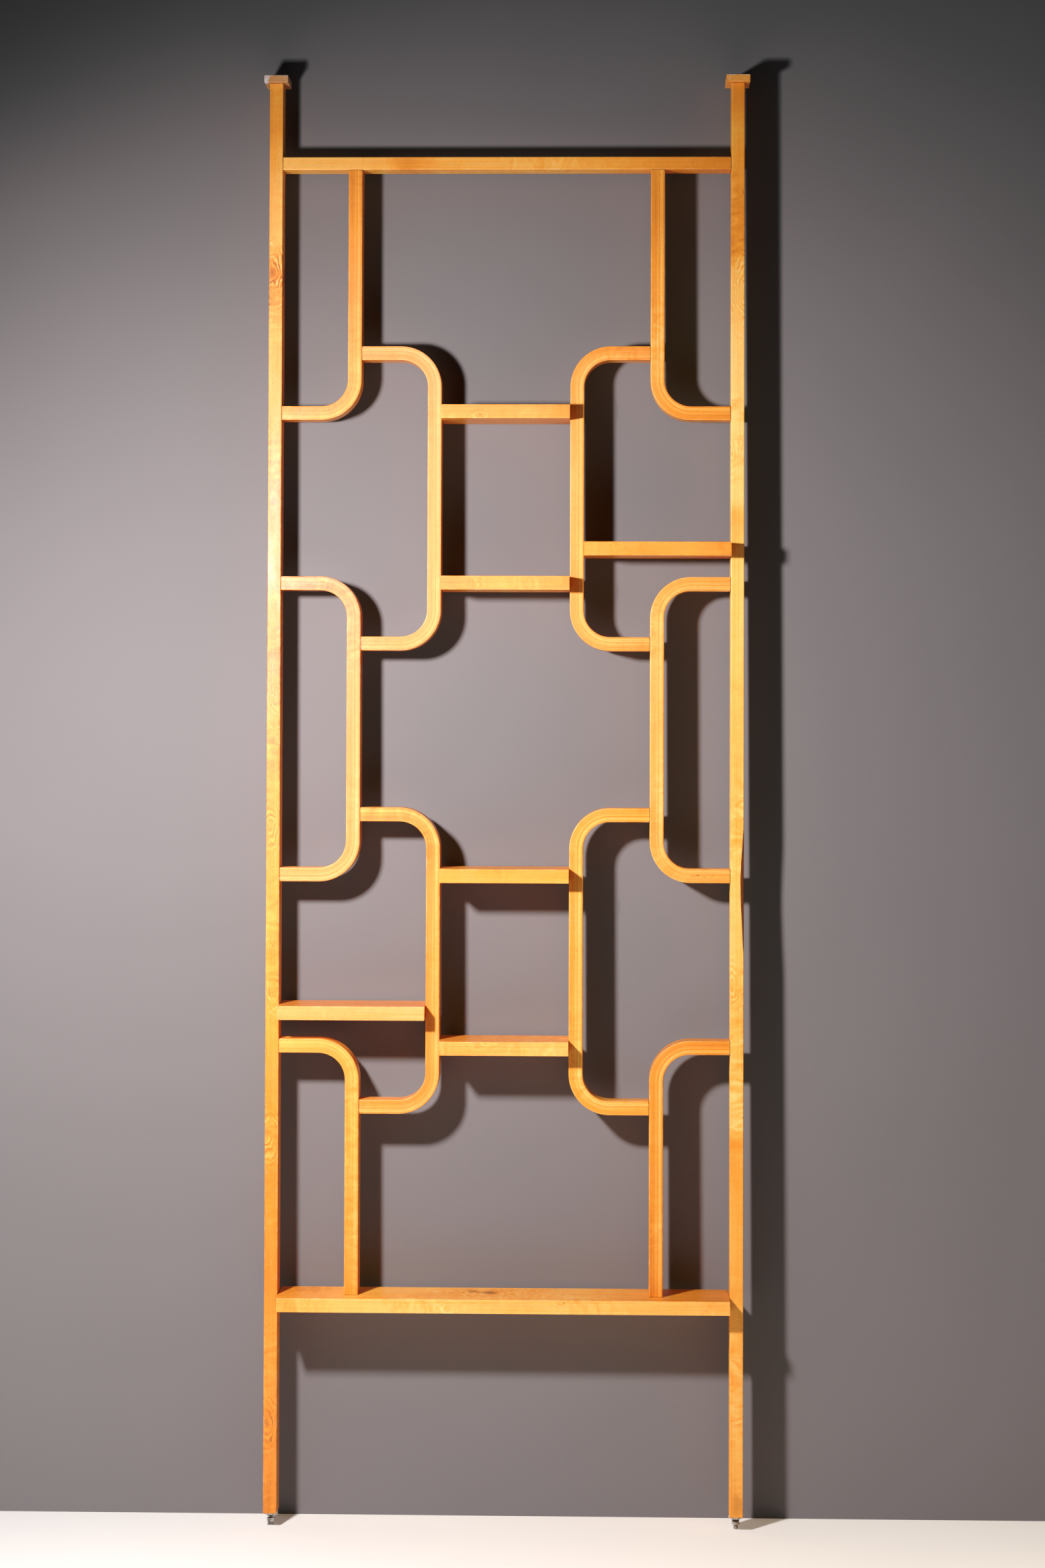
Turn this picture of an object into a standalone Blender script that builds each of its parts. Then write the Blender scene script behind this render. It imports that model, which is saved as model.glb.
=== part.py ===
"""A floor-to-ceiling room divider of honey-lacquered wood.

Two posts stand on screw feet and press wooden caps against the ceiling. A top rail and a deep bottom shelf join
the posts. Between them runs a lattice of bent laminated loops, butted together on hidden dowels, with short
shelves among the loops. Metres, +Z up. The origin is on the floor midway between the feet, and the front faces -Y.
"""

import collections
import math

import bmesh
import bpy
from mathutils import Matrix, Vector

# Posts and rail
FRAME_DEPTH = 0.046
POST_WIDTH = 0.024
TOP_RAIL_THICKNESS = 0.023
TOP_RAIL_DROP = 0.1333
ARRIS_RADIUS = 0.0015

# Ceiling caps
CAP_WIDTH = 0.043
CAP_DEPTH = 0.065
CAP_THICKNESS = 0.013
CAP_ROUNDING = 0.001

# Laminated loops
CENTRE_BAY_WIDTH = 0.231
LOOP_WIDTH = 0.144
LOOP_HEIGHT = 0.547
LOOP_OVERLAP = 0.133
LAMINATE_THICKNESS = 0.025
BEND_OUTER_RADIUS = 0.073
LATTICE_RISE = 0.3225
LATTICE_DROP = 0.3182

# Shelves
SHELF_DEPTH = 0.120
SHELF_THICKNESS = 0.025
BOTTOM_SHELF_RISE = 0.364
SIDE_SHELF_LIFT = 0.0365

# Screw feet
COLLAR_DIAMETER = 0.025
COLLAR_HEIGHT = 0.0078
COLLAR_CHAMFER = 0.0008
SPIGOT_DIAMETER = 0.012
SPIGOT_LENGTH = 0.012
STUD_DIAMETER = 0.008
STUD_LENGTH = 0.070
STUD_REACH = 0.0172
STUD_CHAMFER = 0.0014
STUD_BORE_ROOM = 0.010
NUT_ACROSS_FLATS = 0.013
NUT_HEIGHT = 0.0065
NUT_CHAMFER_ANGLE = math.radians(30)
NUT_FACE_SHARE = 0.95
LEFT_NUT_DROP = 0.0039
RIGHT_NUT_DROP = 0.0020

# Dowels
DOWEL_DIAMETER = 0.008
DOWEL_FACE_DEPTH = 0.012
DOWEL_CAP_DEPTH = 0.008
DOWEL_END_DEPTH = 0.018
DOWEL_END_ROOM = 0.001
DOWEL_CHAMFER = 0.001
SHELF_DOWEL_SPACING = 0.024

# Clearances and fineness
GAP = 0.0003
OVERRUN = 0.002
WELD = 0.000005
BEND_STEPS = 8
ARRIS_STEPS = 2
DOWEL_SIDES = 12
TURNED_SIDES = 24
HEXAGON_SIDES = 6
SHARP_ANGLE = math.radians(35)

# Base colour, roughness and metallic value of each finish
FINISHES = {
    "solid wood": ((0.76, 0.34, 0.055), 0.32, 0.0),
    "laminated wood": ((0.72, 0.31, 0.050), 0.34, 0.0),
    "bare wood": ((0.70, 0.47, 0.24), 0.75, 0.0),
    "worn steel": ((0.52, 0.49, 0.45), 0.42, 1.0),
}

SIDES = {"left": -1, "right": 1}
LEFTWARD = Vector((-1, 0, 0))
RIGHTWARD = Vector((1, 0, 0))
UPWARD = Vector((0, 0, 1))
DOWNWARD = Vector((0, 0, -1))

# Places across the width, as distances from the middle
HALF_LAMINATE = LAMINATE_THICKNESS / 2
INNER_BACK = CENTRE_BAY_WIDTH / 2
OUTER_BACK = INNER_BACK + LOOP_WIDTH
POST_FACE = OUTER_BACK + LOOP_WIDTH
POST_AXIS = POST_FACE + POST_WIDTH / 2

# Places up the height, from the floor
COLLAR_HIGH = STUD_REACH + COLLAR_HEIGHT
POST_LOW = COLLAR_HIGH + GAP
BOTTOM_SHELF_HIGH = POST_LOW + BOTTOM_SHELF_RISE + SHELF_THICKNESS
LOWER_LOOP_LOW = BOTTOM_SHELF_HIGH + LATTICE_RISE
LOWER_LOOP_HIGH = LOWER_LOOP_LOW + LOOP_HEIGHT
BOTTOM_BEND_HIGH = LOWER_LOOP_LOW + LOOP_OVERLAP
MIDDLE_LOOP_LOW = LOWER_LOOP_HIGH - LOOP_OVERLAP
MIDDLE_LOOP_HIGH = MIDDLE_LOOP_LOW + LOOP_HEIGHT
UPPER_LOOP_LOW = MIDDLE_LOOP_HIGH - LOOP_OVERLAP
UPPER_LOOP_HIGH = UPPER_LOOP_LOW + LOOP_HEIGHT
TOP_BEND_LOW = UPPER_LOOP_HIGH - LOOP_OVERLAP
RAIL_LOW = UPPER_LOOP_HIGH + LATTICE_DROP
POST_HIGH = RAIL_LOW + TOP_RAIL_THICKNESS + TOP_RAIL_DROP

# A joint's dowels across its depth, as a name ending and a share of half their spacing
SINGLE = {"": 0}
PAIRED = {"_front": -1, "_back": 1}

# A dowelled butt joint: the piece with the flat face, the piece whose end meets it, the joint's place (x, z) on
# that face, the direction from the face into the end, the dowels' depth in the face, and how they lie across
Joint = collections.namedtuple("Joint", "name face_part end_part place direction face_depth across")


def clear_scene():
    for obj in list(bpy.data.objects):
        bpy.data.objects.remove(obj)


def new_collection(name):
    group = bpy.data.collections.new(name)
    bpy.context.scene.collection.children.link(group)
    return group


def finish(obj, look):
    """Gives the object a material of its own."""
    colour, roughness, metallic = FINISHES[look]
    material = bpy.data.materials.new(f"{obj.name} {look}")
    material.use_nodes = True
    shader = material.node_tree.nodes["Principled BSDF"]
    shader.inputs["Base Color"].default_value = (*colour, 1)
    shader.inputs["Roughness"].default_value = roughness
    shader.inputs["Metallic"].default_value = metallic
    obj.data.materials.clear()
    obj.data.materials.append(material)


def keep_as_tool(obj):
    """Puts a cutter, a stub or a guide where it isn't rendered."""
    obj.hide_render = True
    obj.display_type = "WIRE"
    tools.objects.link(obj)
    return obj


def add_boolean(part, tool, operation):
    modifier = part.modifiers.new(tool.name, "BOOLEAN")
    modifier.operation = operation
    modifier.object = tool


def poly_spline(curve, points, cyclic):
    spline = curve.splines.new("POLY")
    spline.points.add(len(points) - 1)
    for point, (x, y) in zip(spline.points, points):
        point.co = (x, y, 0, 1)
    spline.use_cyclic_u = cyclic


def quarter_bend(corner, before, after, radius, steps):
    """Points of a quarter circle that rounds a right-angled corner between two neighbours."""
    to_before = (before - corner).normalized()
    to_after = (after - corner).normalized()
    centre = corner + (to_before + to_after) * radius
    angles = [math.radians(90) * step / steps for step in range(steps + 1)]
    return [centre - (to_after * math.cos(angle) + to_before * math.sin(angle)) * radius for angle in angles]


def section_guide(name, thickness, depth):
    """The cross-section of a bar: a rectangle with rounded arrises."""
    x = thickness / 2
    y = depth / 2
    corners = [Vector(corner) for corner in ((x, y), (-x, y), (-x, -y), (x, -y))]
    ring = []
    for before, corner, after in zip(corners[-1:] + corners, corners, corners[1:] + corners[:1]):
        ring += quarter_bend(corner, before, after, ARRIS_RADIUS, ARRIS_STEPS)
    curve = bpy.data.curves.new(name, "CURVE")
    curve.dimensions = "2D"
    curve.fill_mode = "NONE"
    poly_spline(curve, ring, cyclic=True)
    return keep_as_tool(bpy.data.objects.new(name, curve))


def bent_path(corners):
    """A path through the corners (x, z), with a quarter bend at each one between the ends."""
    corners = [Vector(corner) for corner in corners]
    path = [corners[0]]
    for before, corner, after in zip(corners, corners[1:], corners[2:]):
        path += quarter_bend(corner, before, after, BEND_OUTER_RADIUS - HALF_LAMINATE, BEND_STEPS)
    return path + [corners[-1]]


def bar(name, corners, section, look):
    """A wooden bar: a section swept along a path in the plane of the frame, made a mesh so that it can be drilled."""
    path = bent_path(corners)
    start = path[0]
    curve = bpy.data.curves.new(f"{name}_path", "CURVE")
    curve.dimensions = "2D"
    curve.fill_mode = "NONE"
    curve.bevel_mode = "OBJECT"
    curve.bevel_object = section
    curve.use_fill_caps = True
    poly_spline(curve, [point - start for point in path], cyclic=False)
    guide = bpy.data.objects.new(f"{name}_path", curve)
    guide.location = (start.x, 0, start.y)
    guide.rotation_euler.x = math.radians(90)
    tools.objects.link(guide)
    bpy.context.view_layer.update()

    mesh = bpy.data.meshes.new_from_object(guide.evaluated_get(bpy.context.evaluated_depsgraph_get()))
    swept = bmesh.new()
    swept.from_mesh(mesh)
    bmesh.ops.remove_doubles(swept, verts=swept.verts, dist=WELD)
    bmesh.ops.recalc_face_normals(swept, faces=swept.faces)
    swept.to_mesh(mesh)
    swept.free()
    mesh.name = name
    mesh.shade_smooth()
    mesh.set_sharp_from_angle(angle=SHARP_ANGLE)
    obj = bpy.data.objects.new(name, mesh)
    obj.matrix_world = guide.matrix_world
    parts.objects.link(obj)
    bpy.data.objects.remove(guide)
    finish(obj, look)
    return obj


def built(name, build):
    """An object whose mesh a function builds in a bmesh."""
    solid = bmesh.new()
    build(solid)
    mesh = bpy.data.meshes.new(name)
    solid.to_mesh(mesh)
    solid.free()
    return bpy.data.objects.new(name, mesh)


def turned(name, profile, closed=False):
    """A profile of (radius, height) pairs, its outer side running down, spun round Z."""

    def build(outline):
        points = [outline.verts.new((radius, 0, height)) for radius, height in profile]
        for first, second in zip(points, points[1:]):
            outline.edges.new((first, second))
        if closed:
            outline.edges.new((points[-1], points[0]))

    obj = built(name, build)
    screw = obj.modifiers.new("Turn", "SCREW")
    screw.steps = TURNED_SIDES
    screw.render_steps = TURNED_SIDES
    screw.use_merge_vertices = True
    screw.merge_threshold = WELD
    return obj


def add_rod(solid, base, direction, length, radius, chamfer=0):
    """Adds a round rod to a bmesh, from base along direction, with chamfered ends where asked."""
    turn = direction.to_track_quat("Z", "Y").to_matrix().to_4x4()
    place = Matrix.Translation(base + direction * length / 2) @ turn
    made = bmesh.ops.create_cone(
        solid,
        cap_ends=True,
        segments=DOWEL_SIDES,
        radius1=radius,
        radius2=radius,
        depth=length,
        matrix=place,
    )
    if chamfer:
        faces = {face for vert in made["verts"] for face in vert.link_faces}
        rims = {edge for face in faces if len(face.verts) == DOWEL_SIDES for edge in face.edges}
        bmesh.ops.bevel(
            solid,
            geom=list(rims),
            offset=chamfer,
            segments=1,
            profile=0.5,
            affect="EDGES",
            material=-1,
        )


def make_frame(frame_section, rail_section, shelf_section):
    """The posts, the top rail and the bottom shelf."""
    pieces = {}
    for side, sign in SIDES.items():
        name = f"{side}_post"
        axis = sign * POST_AXIS
        pieces[name] = bar(name, [(axis, POST_LOW), (axis, POST_HIGH)], frame_section, "solid wood")
    reach = POST_FACE - GAP
    for name, height, section in (
        ("top_rail", RAIL_LOW + TOP_RAIL_THICKNESS / 2, rail_section),
        ("bottom_shelf", BOTTOM_SHELF_HIGH - SHELF_THICKNESS / 2, shelf_section),
    ):
        pieces[name] = bar(name, [(-reach, height), (reach, height)], section, "solid wood")
    return pieces


def make_caps():
    """A block on each post's top, a little larger than the post, with its edges eased."""

    def build(solid):
        bmesh.ops.create_cube(solid, size=1, matrix=Matrix.Diagonal((CAP_WIDTH, CAP_DEPTH, CAP_THICKNESS, 1)))

    pieces = {}
    for side, sign in SIDES.items():
        cap = built(f"{side}_ceiling_cap", build)
        cap.location = (sign * POST_AXIS, 0, POST_HIGH + GAP + CAP_THICKNESS / 2)
        parts.objects.link(cap)
        easing = cap.modifiers.new("Eased edges", "BEVEL")
        easing.width = CAP_ROUNDING
        easing.segments = ARRIS_STEPS
        finish(cap, "solid wood")
        pieces[cap.name] = cap
    return pieces


def make_loops(section):
    """The five bent members of each side, whose two columns of loops stand a loop's width apart."""
    outer_end = POST_FACE - GAP
    outer_spine = OUTER_BACK + HALF_LAMINATE
    inner_end = OUTER_BACK - GAP
    inner_spine = INNER_BACK + HALF_LAMINATE
    top_leg = TOP_BEND_LOW + HALF_LAMINATE
    bottom_leg = BOTTOM_BEND_HIGH - HALF_LAMINATE
    paths = {
        "top_bend": [(outer_spine, RAIL_LOW - GAP), (outer_spine, top_leg), (outer_end, top_leg)],
        "bottom_bend": [(outer_end, bottom_leg), (outer_spine, bottom_leg), (outer_spine, BOTTOM_SHELF_HIGH + GAP)],
    }
    for loop, low, end, spine in (
        ("upper_loop", UPPER_LOOP_LOW, inner_end, inner_spine),
        ("middle_loop", MIDDLE_LOOP_LOW, outer_end, outer_spine),
        ("lower_loop", LOWER_LOOP_LOW, inner_end, inner_spine),
    ):
        under = low + HALF_LAMINATE
        over = low + LOOP_HEIGHT - HALF_LAMINATE
        paths[loop] = [(end, under), (spine, under), (spine, over), (end, over)]
    pieces = {}
    for side, sign in SIDES.items():
        for loop, corners in paths.items():
            name = f"{side}_{loop}"
            pieces[name] = bar(name, [(sign * x, height) for x, height in corners], section, "laminated wood")
    return pieces


def shelf_places():
    """Each short shelf's name and underside, then its left and right ends with the piece that each one meets."""
    inner_reach = INNER_BACK + LAMINATE_THICKNESS
    places = []
    for name, low, loop in (
        ("first_centre_shelf", TOP_BEND_LOW, "upper_loop"),
        ("second_centre_shelf", MIDDLE_LOOP_HIGH - LAMINATE_THICKNESS, "upper_loop"),
        ("third_centre_shelf", MIDDLE_LOOP_LOW, "lower_loop"),
        ("fourth_centre_shelf", BOTTOM_BEND_HIGH - LAMINATE_THICKNESS, "lower_loop"),
    ):
        places.append((name, low, (-INNER_BACK, f"left_{loop}"), (INNER_BACK, f"right_{loop}")))
    low = MIDDLE_LOOP_HIGH + SIDE_SHELF_LIFT
    places.append(("upper_right_shelf", low, (inner_reach, "right_upper_loop"), (POST_FACE, "right_post")))
    low = BOTTOM_BEND_HIGH + SIDE_SHELF_LIFT
    places.append(("lower_left_shelf", low, (-POST_FACE, "left_post"), (-inner_reach, "left_lower_loop")))
    return places


def make_shelves(section):
    pieces = {}
    for name, low, (left, _), (right, _) in shelf_places():
        height = low + SHELF_THICKNESS / 2
        pieces[name] = bar(name, [(left + GAP, height), (right - GAP, height)], section, "solid wood")
    return pieces


def loop_joints():
    """The joints of the bent members, on the posts, on each other, on the rail and on the bottom shelf."""
    joints = []
    for side, sign in SIDES.items():
        for end_part, place, face_part, face, height in (
            ("top_bend", "post", "post", POST_FACE, TOP_BEND_LOW + HALF_LAMINATE),
            ("upper_loop", "top", "top_bend", OUTER_BACK, UPPER_LOOP_HIGH - HALF_LAMINATE),
            ("upper_loop", "bottom", "middle_loop", OUTER_BACK, UPPER_LOOP_LOW + HALF_LAMINATE),
            ("middle_loop", "top", "post", POST_FACE, MIDDLE_LOOP_HIGH - HALF_LAMINATE),
            ("middle_loop", "bottom", "post", POST_FACE, MIDDLE_LOOP_LOW + HALF_LAMINATE),
            ("lower_loop", "top", "middle_loop", OUTER_BACK, LOWER_LOOP_HIGH - HALF_LAMINATE),
            ("lower_loop", "bottom", "bottom_bend", OUTER_BACK, LOWER_LOOP_LOW + HALF_LAMINATE),
            ("bottom_bend", "post", "post", POST_FACE, BOTTOM_BEND_HIGH - HALF_LAMINATE),
        ):
            joints.append(
                Joint(
                    name=f"{side}_{end_part}_{place}_dowel",
                    face_part=f"{side}_{face_part}",
                    end_part=f"{side}_{end_part}",
                    place=(sign * face, height),
                    direction=LEFTWARD * sign,
                    face_depth=DOWEL_FACE_DEPTH,
                    across=SINGLE,
                )
            )
        for end_part, face_part, height, direction in (
            (f"{side}_top_bend", "top_rail", RAIL_LOW, DOWNWARD),
            (f"{side}_bottom_bend", "bottom_shelf", BOTTOM_SHELF_HIGH, UPWARD),
        ):
            joints.append(
                Joint(
                    name=f"{end_part}_{face_part}_dowel",
                    face_part=face_part,
                    end_part=end_part,
                    place=(sign * (OUTER_BACK + HALF_LAMINATE), height),
                    direction=direction,
                    face_depth=DOWEL_FACE_DEPTH,
                    across=SINGLE,
                )
            )
    return joints


def frame_joints():
    """The joints of the rail, the bottom shelf and the ceiling caps with the posts."""
    joints = []
    for side, sign in SIDES.items():
        post = f"{side}_post"
        for end_part, height, across in (
            ("top_rail", RAIL_LOW + TOP_RAIL_THICKNESS / 2, SINGLE),
            ("bottom_shelf", BOTTOM_SHELF_HIGH - SHELF_THICKNESS / 2, PAIRED),
        ):
            joints.append(
                Joint(
                    name=f"{end_part}_{side}_dowel",
                    face_part=post,
                    end_part=end_part,
                    place=(sign * POST_FACE, height),
                    direction=LEFTWARD * sign,
                    face_depth=DOWEL_FACE_DEPTH,
                    across=across,
                )
            )
        joints.append(
            Joint(
                name=f"{side}_ceiling_cap_dowel",
                face_part=f"{side}_ceiling_cap",
                end_part=post,
                place=(sign * POST_AXIS, POST_HIGH + GAP),
                direction=DOWNWARD,
                face_depth=DOWEL_CAP_DEPTH,
                across=SINGLE,
            )
        )
    return joints


def shelf_joints():
    """The joints of the short shelves, whose dowels are part of the shelves."""
    joints = []
    for name, low, (left, left_part), (right, right_part) in shelf_places():
        for end, x, face_part, direction in (
            ("left", left, left_part, RIGHTWARD),
            ("right", right, right_part, LEFTWARD),
        ):
            joints.append(
                Joint(
                    name=f"{name}_{end}_stubs",
                    face_part=face_part,
                    end_part=name,
                    place=(x, low + SHELF_THICKNESS / 2),
                    direction=direction,
                    face_depth=DOWEL_FACE_DEPTH,
                    across=PAIRED,
                )
            )
    return joints


def seats(joint):
    """A name ending and a point on the face for each of the joint's dowels."""
    x, z = joint.place
    return [(ending, Vector((x, share * SHELF_DOWEL_SPACING / 2, z))) for ending, share in joint.across.items()]


def add_dowel(solid, joint, seat):
    start = seat - joint.direction * joint.face_depth
    length = joint.face_depth + GAP + DOWEL_END_DEPTH
    add_rod(solid, start, joint.direction, length, DOWEL_DIAMETER / 2, DOWEL_CHAMFER)


def drill(pieces, loose, fused):
    """Cuts the joints' blind holes, each a gap wider than its dowel, into every piece that has some."""
    holes = collections.defaultdict(list)
    for joint in loose + fused:
        for _, seat in seats(joint):
            holes[joint.face_part].append((seat, -joint.direction, joint.face_depth))
            if joint in loose:
                holes[joint.end_part].append((seat, joint.direction, GAP + DOWEL_END_DEPTH))
    for name, drilled in holes.items():

        def build(solid):
            for seat, direction, depth in drilled:
                start = seat - direction * OVERRUN
                add_rod(solid, start, direction, OVERRUN + depth + DOWEL_END_ROOM, DOWEL_DIAMETER / 2 + GAP)

        add_boolean(pieces[name], keep_as_tool(built(f"{name}_holes", build)), "DIFFERENCE")


def make_dowels(joints):
    """Each loose dowel is a piece of its own."""
    for joint in joints:
        for ending, seat in seats(joint):
            dowel = built(joint.name + ending, lambda solid: add_dowel(solid, joint, seat))
            parts.objects.link(dowel)
            finish(dowel, "bare wood")


def join_stubs(pieces, joints):
    """Joins the short shelves' dowels to the shelves."""
    for joint in joints:

        def build(solid):
            for _, seat in seats(joint):
                add_dowel(solid, joint, seat)

        add_boolean(pieces[joint.end_part], keep_as_tool(built(joint.name, build)), "UNION")


def foot_bore(name):
    """The stepped hole in a post's lower end: wide for the collar's spigot, then narrow for the stud."""
    spigot = SPIGOT_DIAMETER / 2 + GAP
    stud = STUD_DIAMETER / 2 + GAP
    step = COLLAR_HIGH + SPIGOT_LENGTH + GAP
    top = STUD_LENGTH + STUD_BORE_ROOM
    bottom = POST_LOW - OVERRUN
    return turned(name, [(0, top), (stud, top), (stud, step), (spigot, step), (spigot, bottom), (0, bottom)])


def collar(name):
    """A round steel collar whose spigot is let into the post. The stud screws through it."""
    bore = STUD_DIAMETER / 2 + GAP
    spigot = SPIGOT_DIAMETER / 2
    rim = COLLAR_DIAMETER / 2
    top = COLLAR_HIGH + SPIGOT_LENGTH
    profile = [
        (bore, top),
        (spigot, top),
        (spigot, COLLAR_HIGH),
        (rim, COLLAR_HIGH),
        (rim, STUD_REACH + COLLAR_CHAMFER),
        (rim - COLLAR_CHAMFER, STUD_REACH),
        (bore, STUD_REACH),
    ]
    return turned(name, profile, closed=True)


def stud(name):
    """A threaded rod, plain here, whose lower end stands on the floor."""
    radius = STUD_DIAMETER / 2
    narrow = radius - STUD_CHAMFER
    profile = [
        (0, STUD_LENGTH),
        (narrow, STUD_LENGTH),
        (radius, STUD_LENGTH - STUD_CHAMFER),
        (radius, STUD_CHAMFER),
        (narrow, 0),
        (0, 0),
    ]
    return turned(name, profile)


def nut(name):
    """A hexagon with both faces chamfered, bored for the stud."""
    corner = NUT_ACROSS_FLATS / math.sqrt(3)
    half = NUT_HEIGHT / 2
    face = NUT_FACE_SHARE * NUT_ACROSS_FLATS / 2
    rim = corner + OVERRUN
    shoulder = half - (rim - face) * math.tan(NUT_CHAMFER_ANGLE)
    lens = turned(
        f"{name}_chamfers",
        [(0, half), (face, half), (rim, shoulder), (rim, -shoulder), (face, -half), (0, -half)],
    )
    bore_radius = STUD_DIAMETER / 2 + GAP
    bore_end = half + OVERRUN
    bore = turned(f"{name}_bore", [(0, bore_end), (bore_radius, bore_end), (bore_radius, -bore_end), (0, -bore_end)])

    def build(solid):
        bmesh.ops.create_cone(
            solid,
            cap_ends=True,
            segments=HEXAGON_SIDES,
            radius1=corner,
            radius2=corner,
            depth=NUT_HEIGHT + 2 * OVERRUN,
        )

    obj = built(name, build)
    add_boolean(obj, keep_as_tool(lens), "INTERSECT")
    add_boolean(obj, keep_as_tool(bore), "DIFFERENCE")
    return obj, (lens, bore)


def make_feet(pieces):
    """The collar, stud and nut of each foot, on an empty at the stud's axis on the floor."""
    for side, drop in (("left", LEFT_NUT_DROP), ("right", RIGHT_NUT_DROP)):
        axis = bpy.data.objects.new(f"{side}_foot_axis", None)
        axis.location.x = SIDES[side] * POST_AXIS
        parts.objects.link(axis)
        bore = keep_as_tool(foot_bore(f"{side}_foot_bore"))
        bore.parent = axis
        add_boolean(pieces[f"{side}_post"], bore, "DIFFERENCE")
        turned_nut, nut_tools = nut(f"{side}_foot_nut")
        for piece in (turned_nut, *nut_tools):
            piece.location.z = STUD_REACH - drop - NUT_HEIGHT / 2
            piece.parent = axis
        for piece in (collar(f"{side}_foot_collar"), stud(f"{side}_foot_stud"), turned_nut):
            piece.parent = axis
            parts.objects.link(piece)
            finish(piece, "worn steel")


clear_scene()
parts = new_collection("Room divider")
tools = new_collection("Tools and guides")

frame_section = section_guide("frame_section", POST_WIDTH, FRAME_DEPTH)
rail_section = section_guide("rail_section", TOP_RAIL_THICKNESS, FRAME_DEPTH)
loop_section = section_guide("loop_section", LAMINATE_THICKNESS, FRAME_DEPTH)
shelf_section = section_guide("shelf_section", SHELF_THICKNESS, SHELF_DEPTH)

pieces = make_frame(frame_section, rail_section, shelf_section)
pieces.update(make_caps())
pieces.update(make_loops(loop_section))
pieces.update(make_shelves(shelf_section))

loose_joints = loop_joints() + frame_joints()
fused_joints = shelf_joints()
drill(pieces, loose_joints, fused_joints)
make_dowels(loose_joints)
join_stubs(pieces, fused_joints)
make_feet(pieces)
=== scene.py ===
import cmath
import math

import bmesh
import bpy
from mathutils import Matrix, Vector, noise


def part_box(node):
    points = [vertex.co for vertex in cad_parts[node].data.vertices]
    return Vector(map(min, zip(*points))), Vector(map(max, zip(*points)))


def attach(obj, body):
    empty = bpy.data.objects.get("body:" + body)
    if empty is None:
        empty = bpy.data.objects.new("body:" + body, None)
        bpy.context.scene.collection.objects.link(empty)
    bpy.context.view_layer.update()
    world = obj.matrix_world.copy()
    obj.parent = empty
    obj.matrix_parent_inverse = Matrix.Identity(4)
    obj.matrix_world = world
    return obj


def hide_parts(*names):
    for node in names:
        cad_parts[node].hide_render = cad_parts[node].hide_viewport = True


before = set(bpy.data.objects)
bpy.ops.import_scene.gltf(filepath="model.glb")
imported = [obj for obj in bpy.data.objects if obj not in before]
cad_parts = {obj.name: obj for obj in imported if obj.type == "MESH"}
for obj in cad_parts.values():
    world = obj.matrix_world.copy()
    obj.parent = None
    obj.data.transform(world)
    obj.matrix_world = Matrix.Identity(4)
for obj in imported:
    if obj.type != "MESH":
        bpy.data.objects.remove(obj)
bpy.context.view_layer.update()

# The room divider's woodwork, in metres.
LAMINATE = 0.025            # how thick a bent bar is
BEND_RADIUS = 0.0605        # of a bend's centre line
BEND_STATIONS = 14          # cuts across each bend
ARRIS = 0.0015              # how far a hand has eased the long edges
ARRIS_STEPS = 4
CAP_ARRIS = 0.0010
PLY = LAMINATE / 9          # one veneer of a bent bar
GLUE_LINE = 0.0003          # between two pieces that are glued
SHARP_ANGLE = math.radians(38)
TINY = 1e-6
NEARLY = 10 * TINY

# The wane on the right post: where bark once was, the saw left a hollow along an arris.
WANE_TOP, WANE_DEEPEST, WANE_BOTTOM = 1.258, 1.151, 1.012
WANE_ACROSS = 0.0062
WANE_BACK = 0.0052
WANE_STATIONS = 40
WANE_UNEVEN = 0.10          # how much its width varies
WANE_RIPPLES = (2, 60)      # of that width, round the arris and in a metre along it
WANE_LEAST = 0.05           # the share of its width at which the lacquer stops
WANE_TURNED = 0.3           # how far a face is turned both ways where it is bare
LEVEL_ENOUGH = 0.5          # how far up a face looks when it belongs to an end

# The bores at the foot of each post.
SPIGOT_BORE = 0.0063
SPIGOT_BORE_DEPTH = 0.0123
STUD_BORE = 0.0043
STUD_BORE_TOP = 0.0800
BORE_SIDES = 24

# The collars under the posts.
NECK_RADIUS = 0.0072
NECK_HEIGHT = 0.0030
NECK_EASE = 0.0004
RIM_SIDES = 48

# The threaded studs.
THREAD_RADIUS = 0.0040
THREAD_ROOT = 0.0034
THREAD_PITCH = 0.00125
THREAD_STEPS = 20
THREAD_CREST = (0.42, 0.58)     # where the crest starts and ends in one pitch
THREAD_WELD = THREAD_PITCH / 60
SPARE_TURNS = 2                 # past the ends, before they are cut off
STUD_POINT = 0.0014

# Along, across and depth of a piece's grain, as axes of the room.
UPRIGHT = (2, 0, 1)
LEVEL = (0, 2, 1)
CROSSWAYS = (1, 0, 2)

SIDES = {"left": -1, "right": 1}
PLACE = "grain_place"


# Meshes

def piece(name, bm, body, stands_for):
    """A finished mesh as an object that rides on its body and stands for its node."""
    bmesh.ops.recalc_face_normals(bm, faces=bm.faces)
    mesh = bpy.data.meshes.new(name)
    bm.to_mesh(mesh)
    bm.free()
    mesh.shade_smooth()
    mesh.set_sharp_from_angle(angle=SHARP_ANGLE)
    made = bpy.data.objects.new(name, mesh)
    bpy.context.scene.collection.objects.link(made)
    flat = made.modifiers.new("flat_faces", "WEIGHTED_NORMAL")
    flat.keep_sharp = True
    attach(made, body)
    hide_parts(stands_for)
    return made


def lay_grain(bm, middle, axes):
    """Writes on every vertex where it is along, across and deep in its piece."""
    layer = bm.verts.layers.float_vector.new(PLACE)
    for vert in bm.verts:
        off = vert.co - middle
        vert[layer] = Vector([off[axis] for axis in axes])


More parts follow.
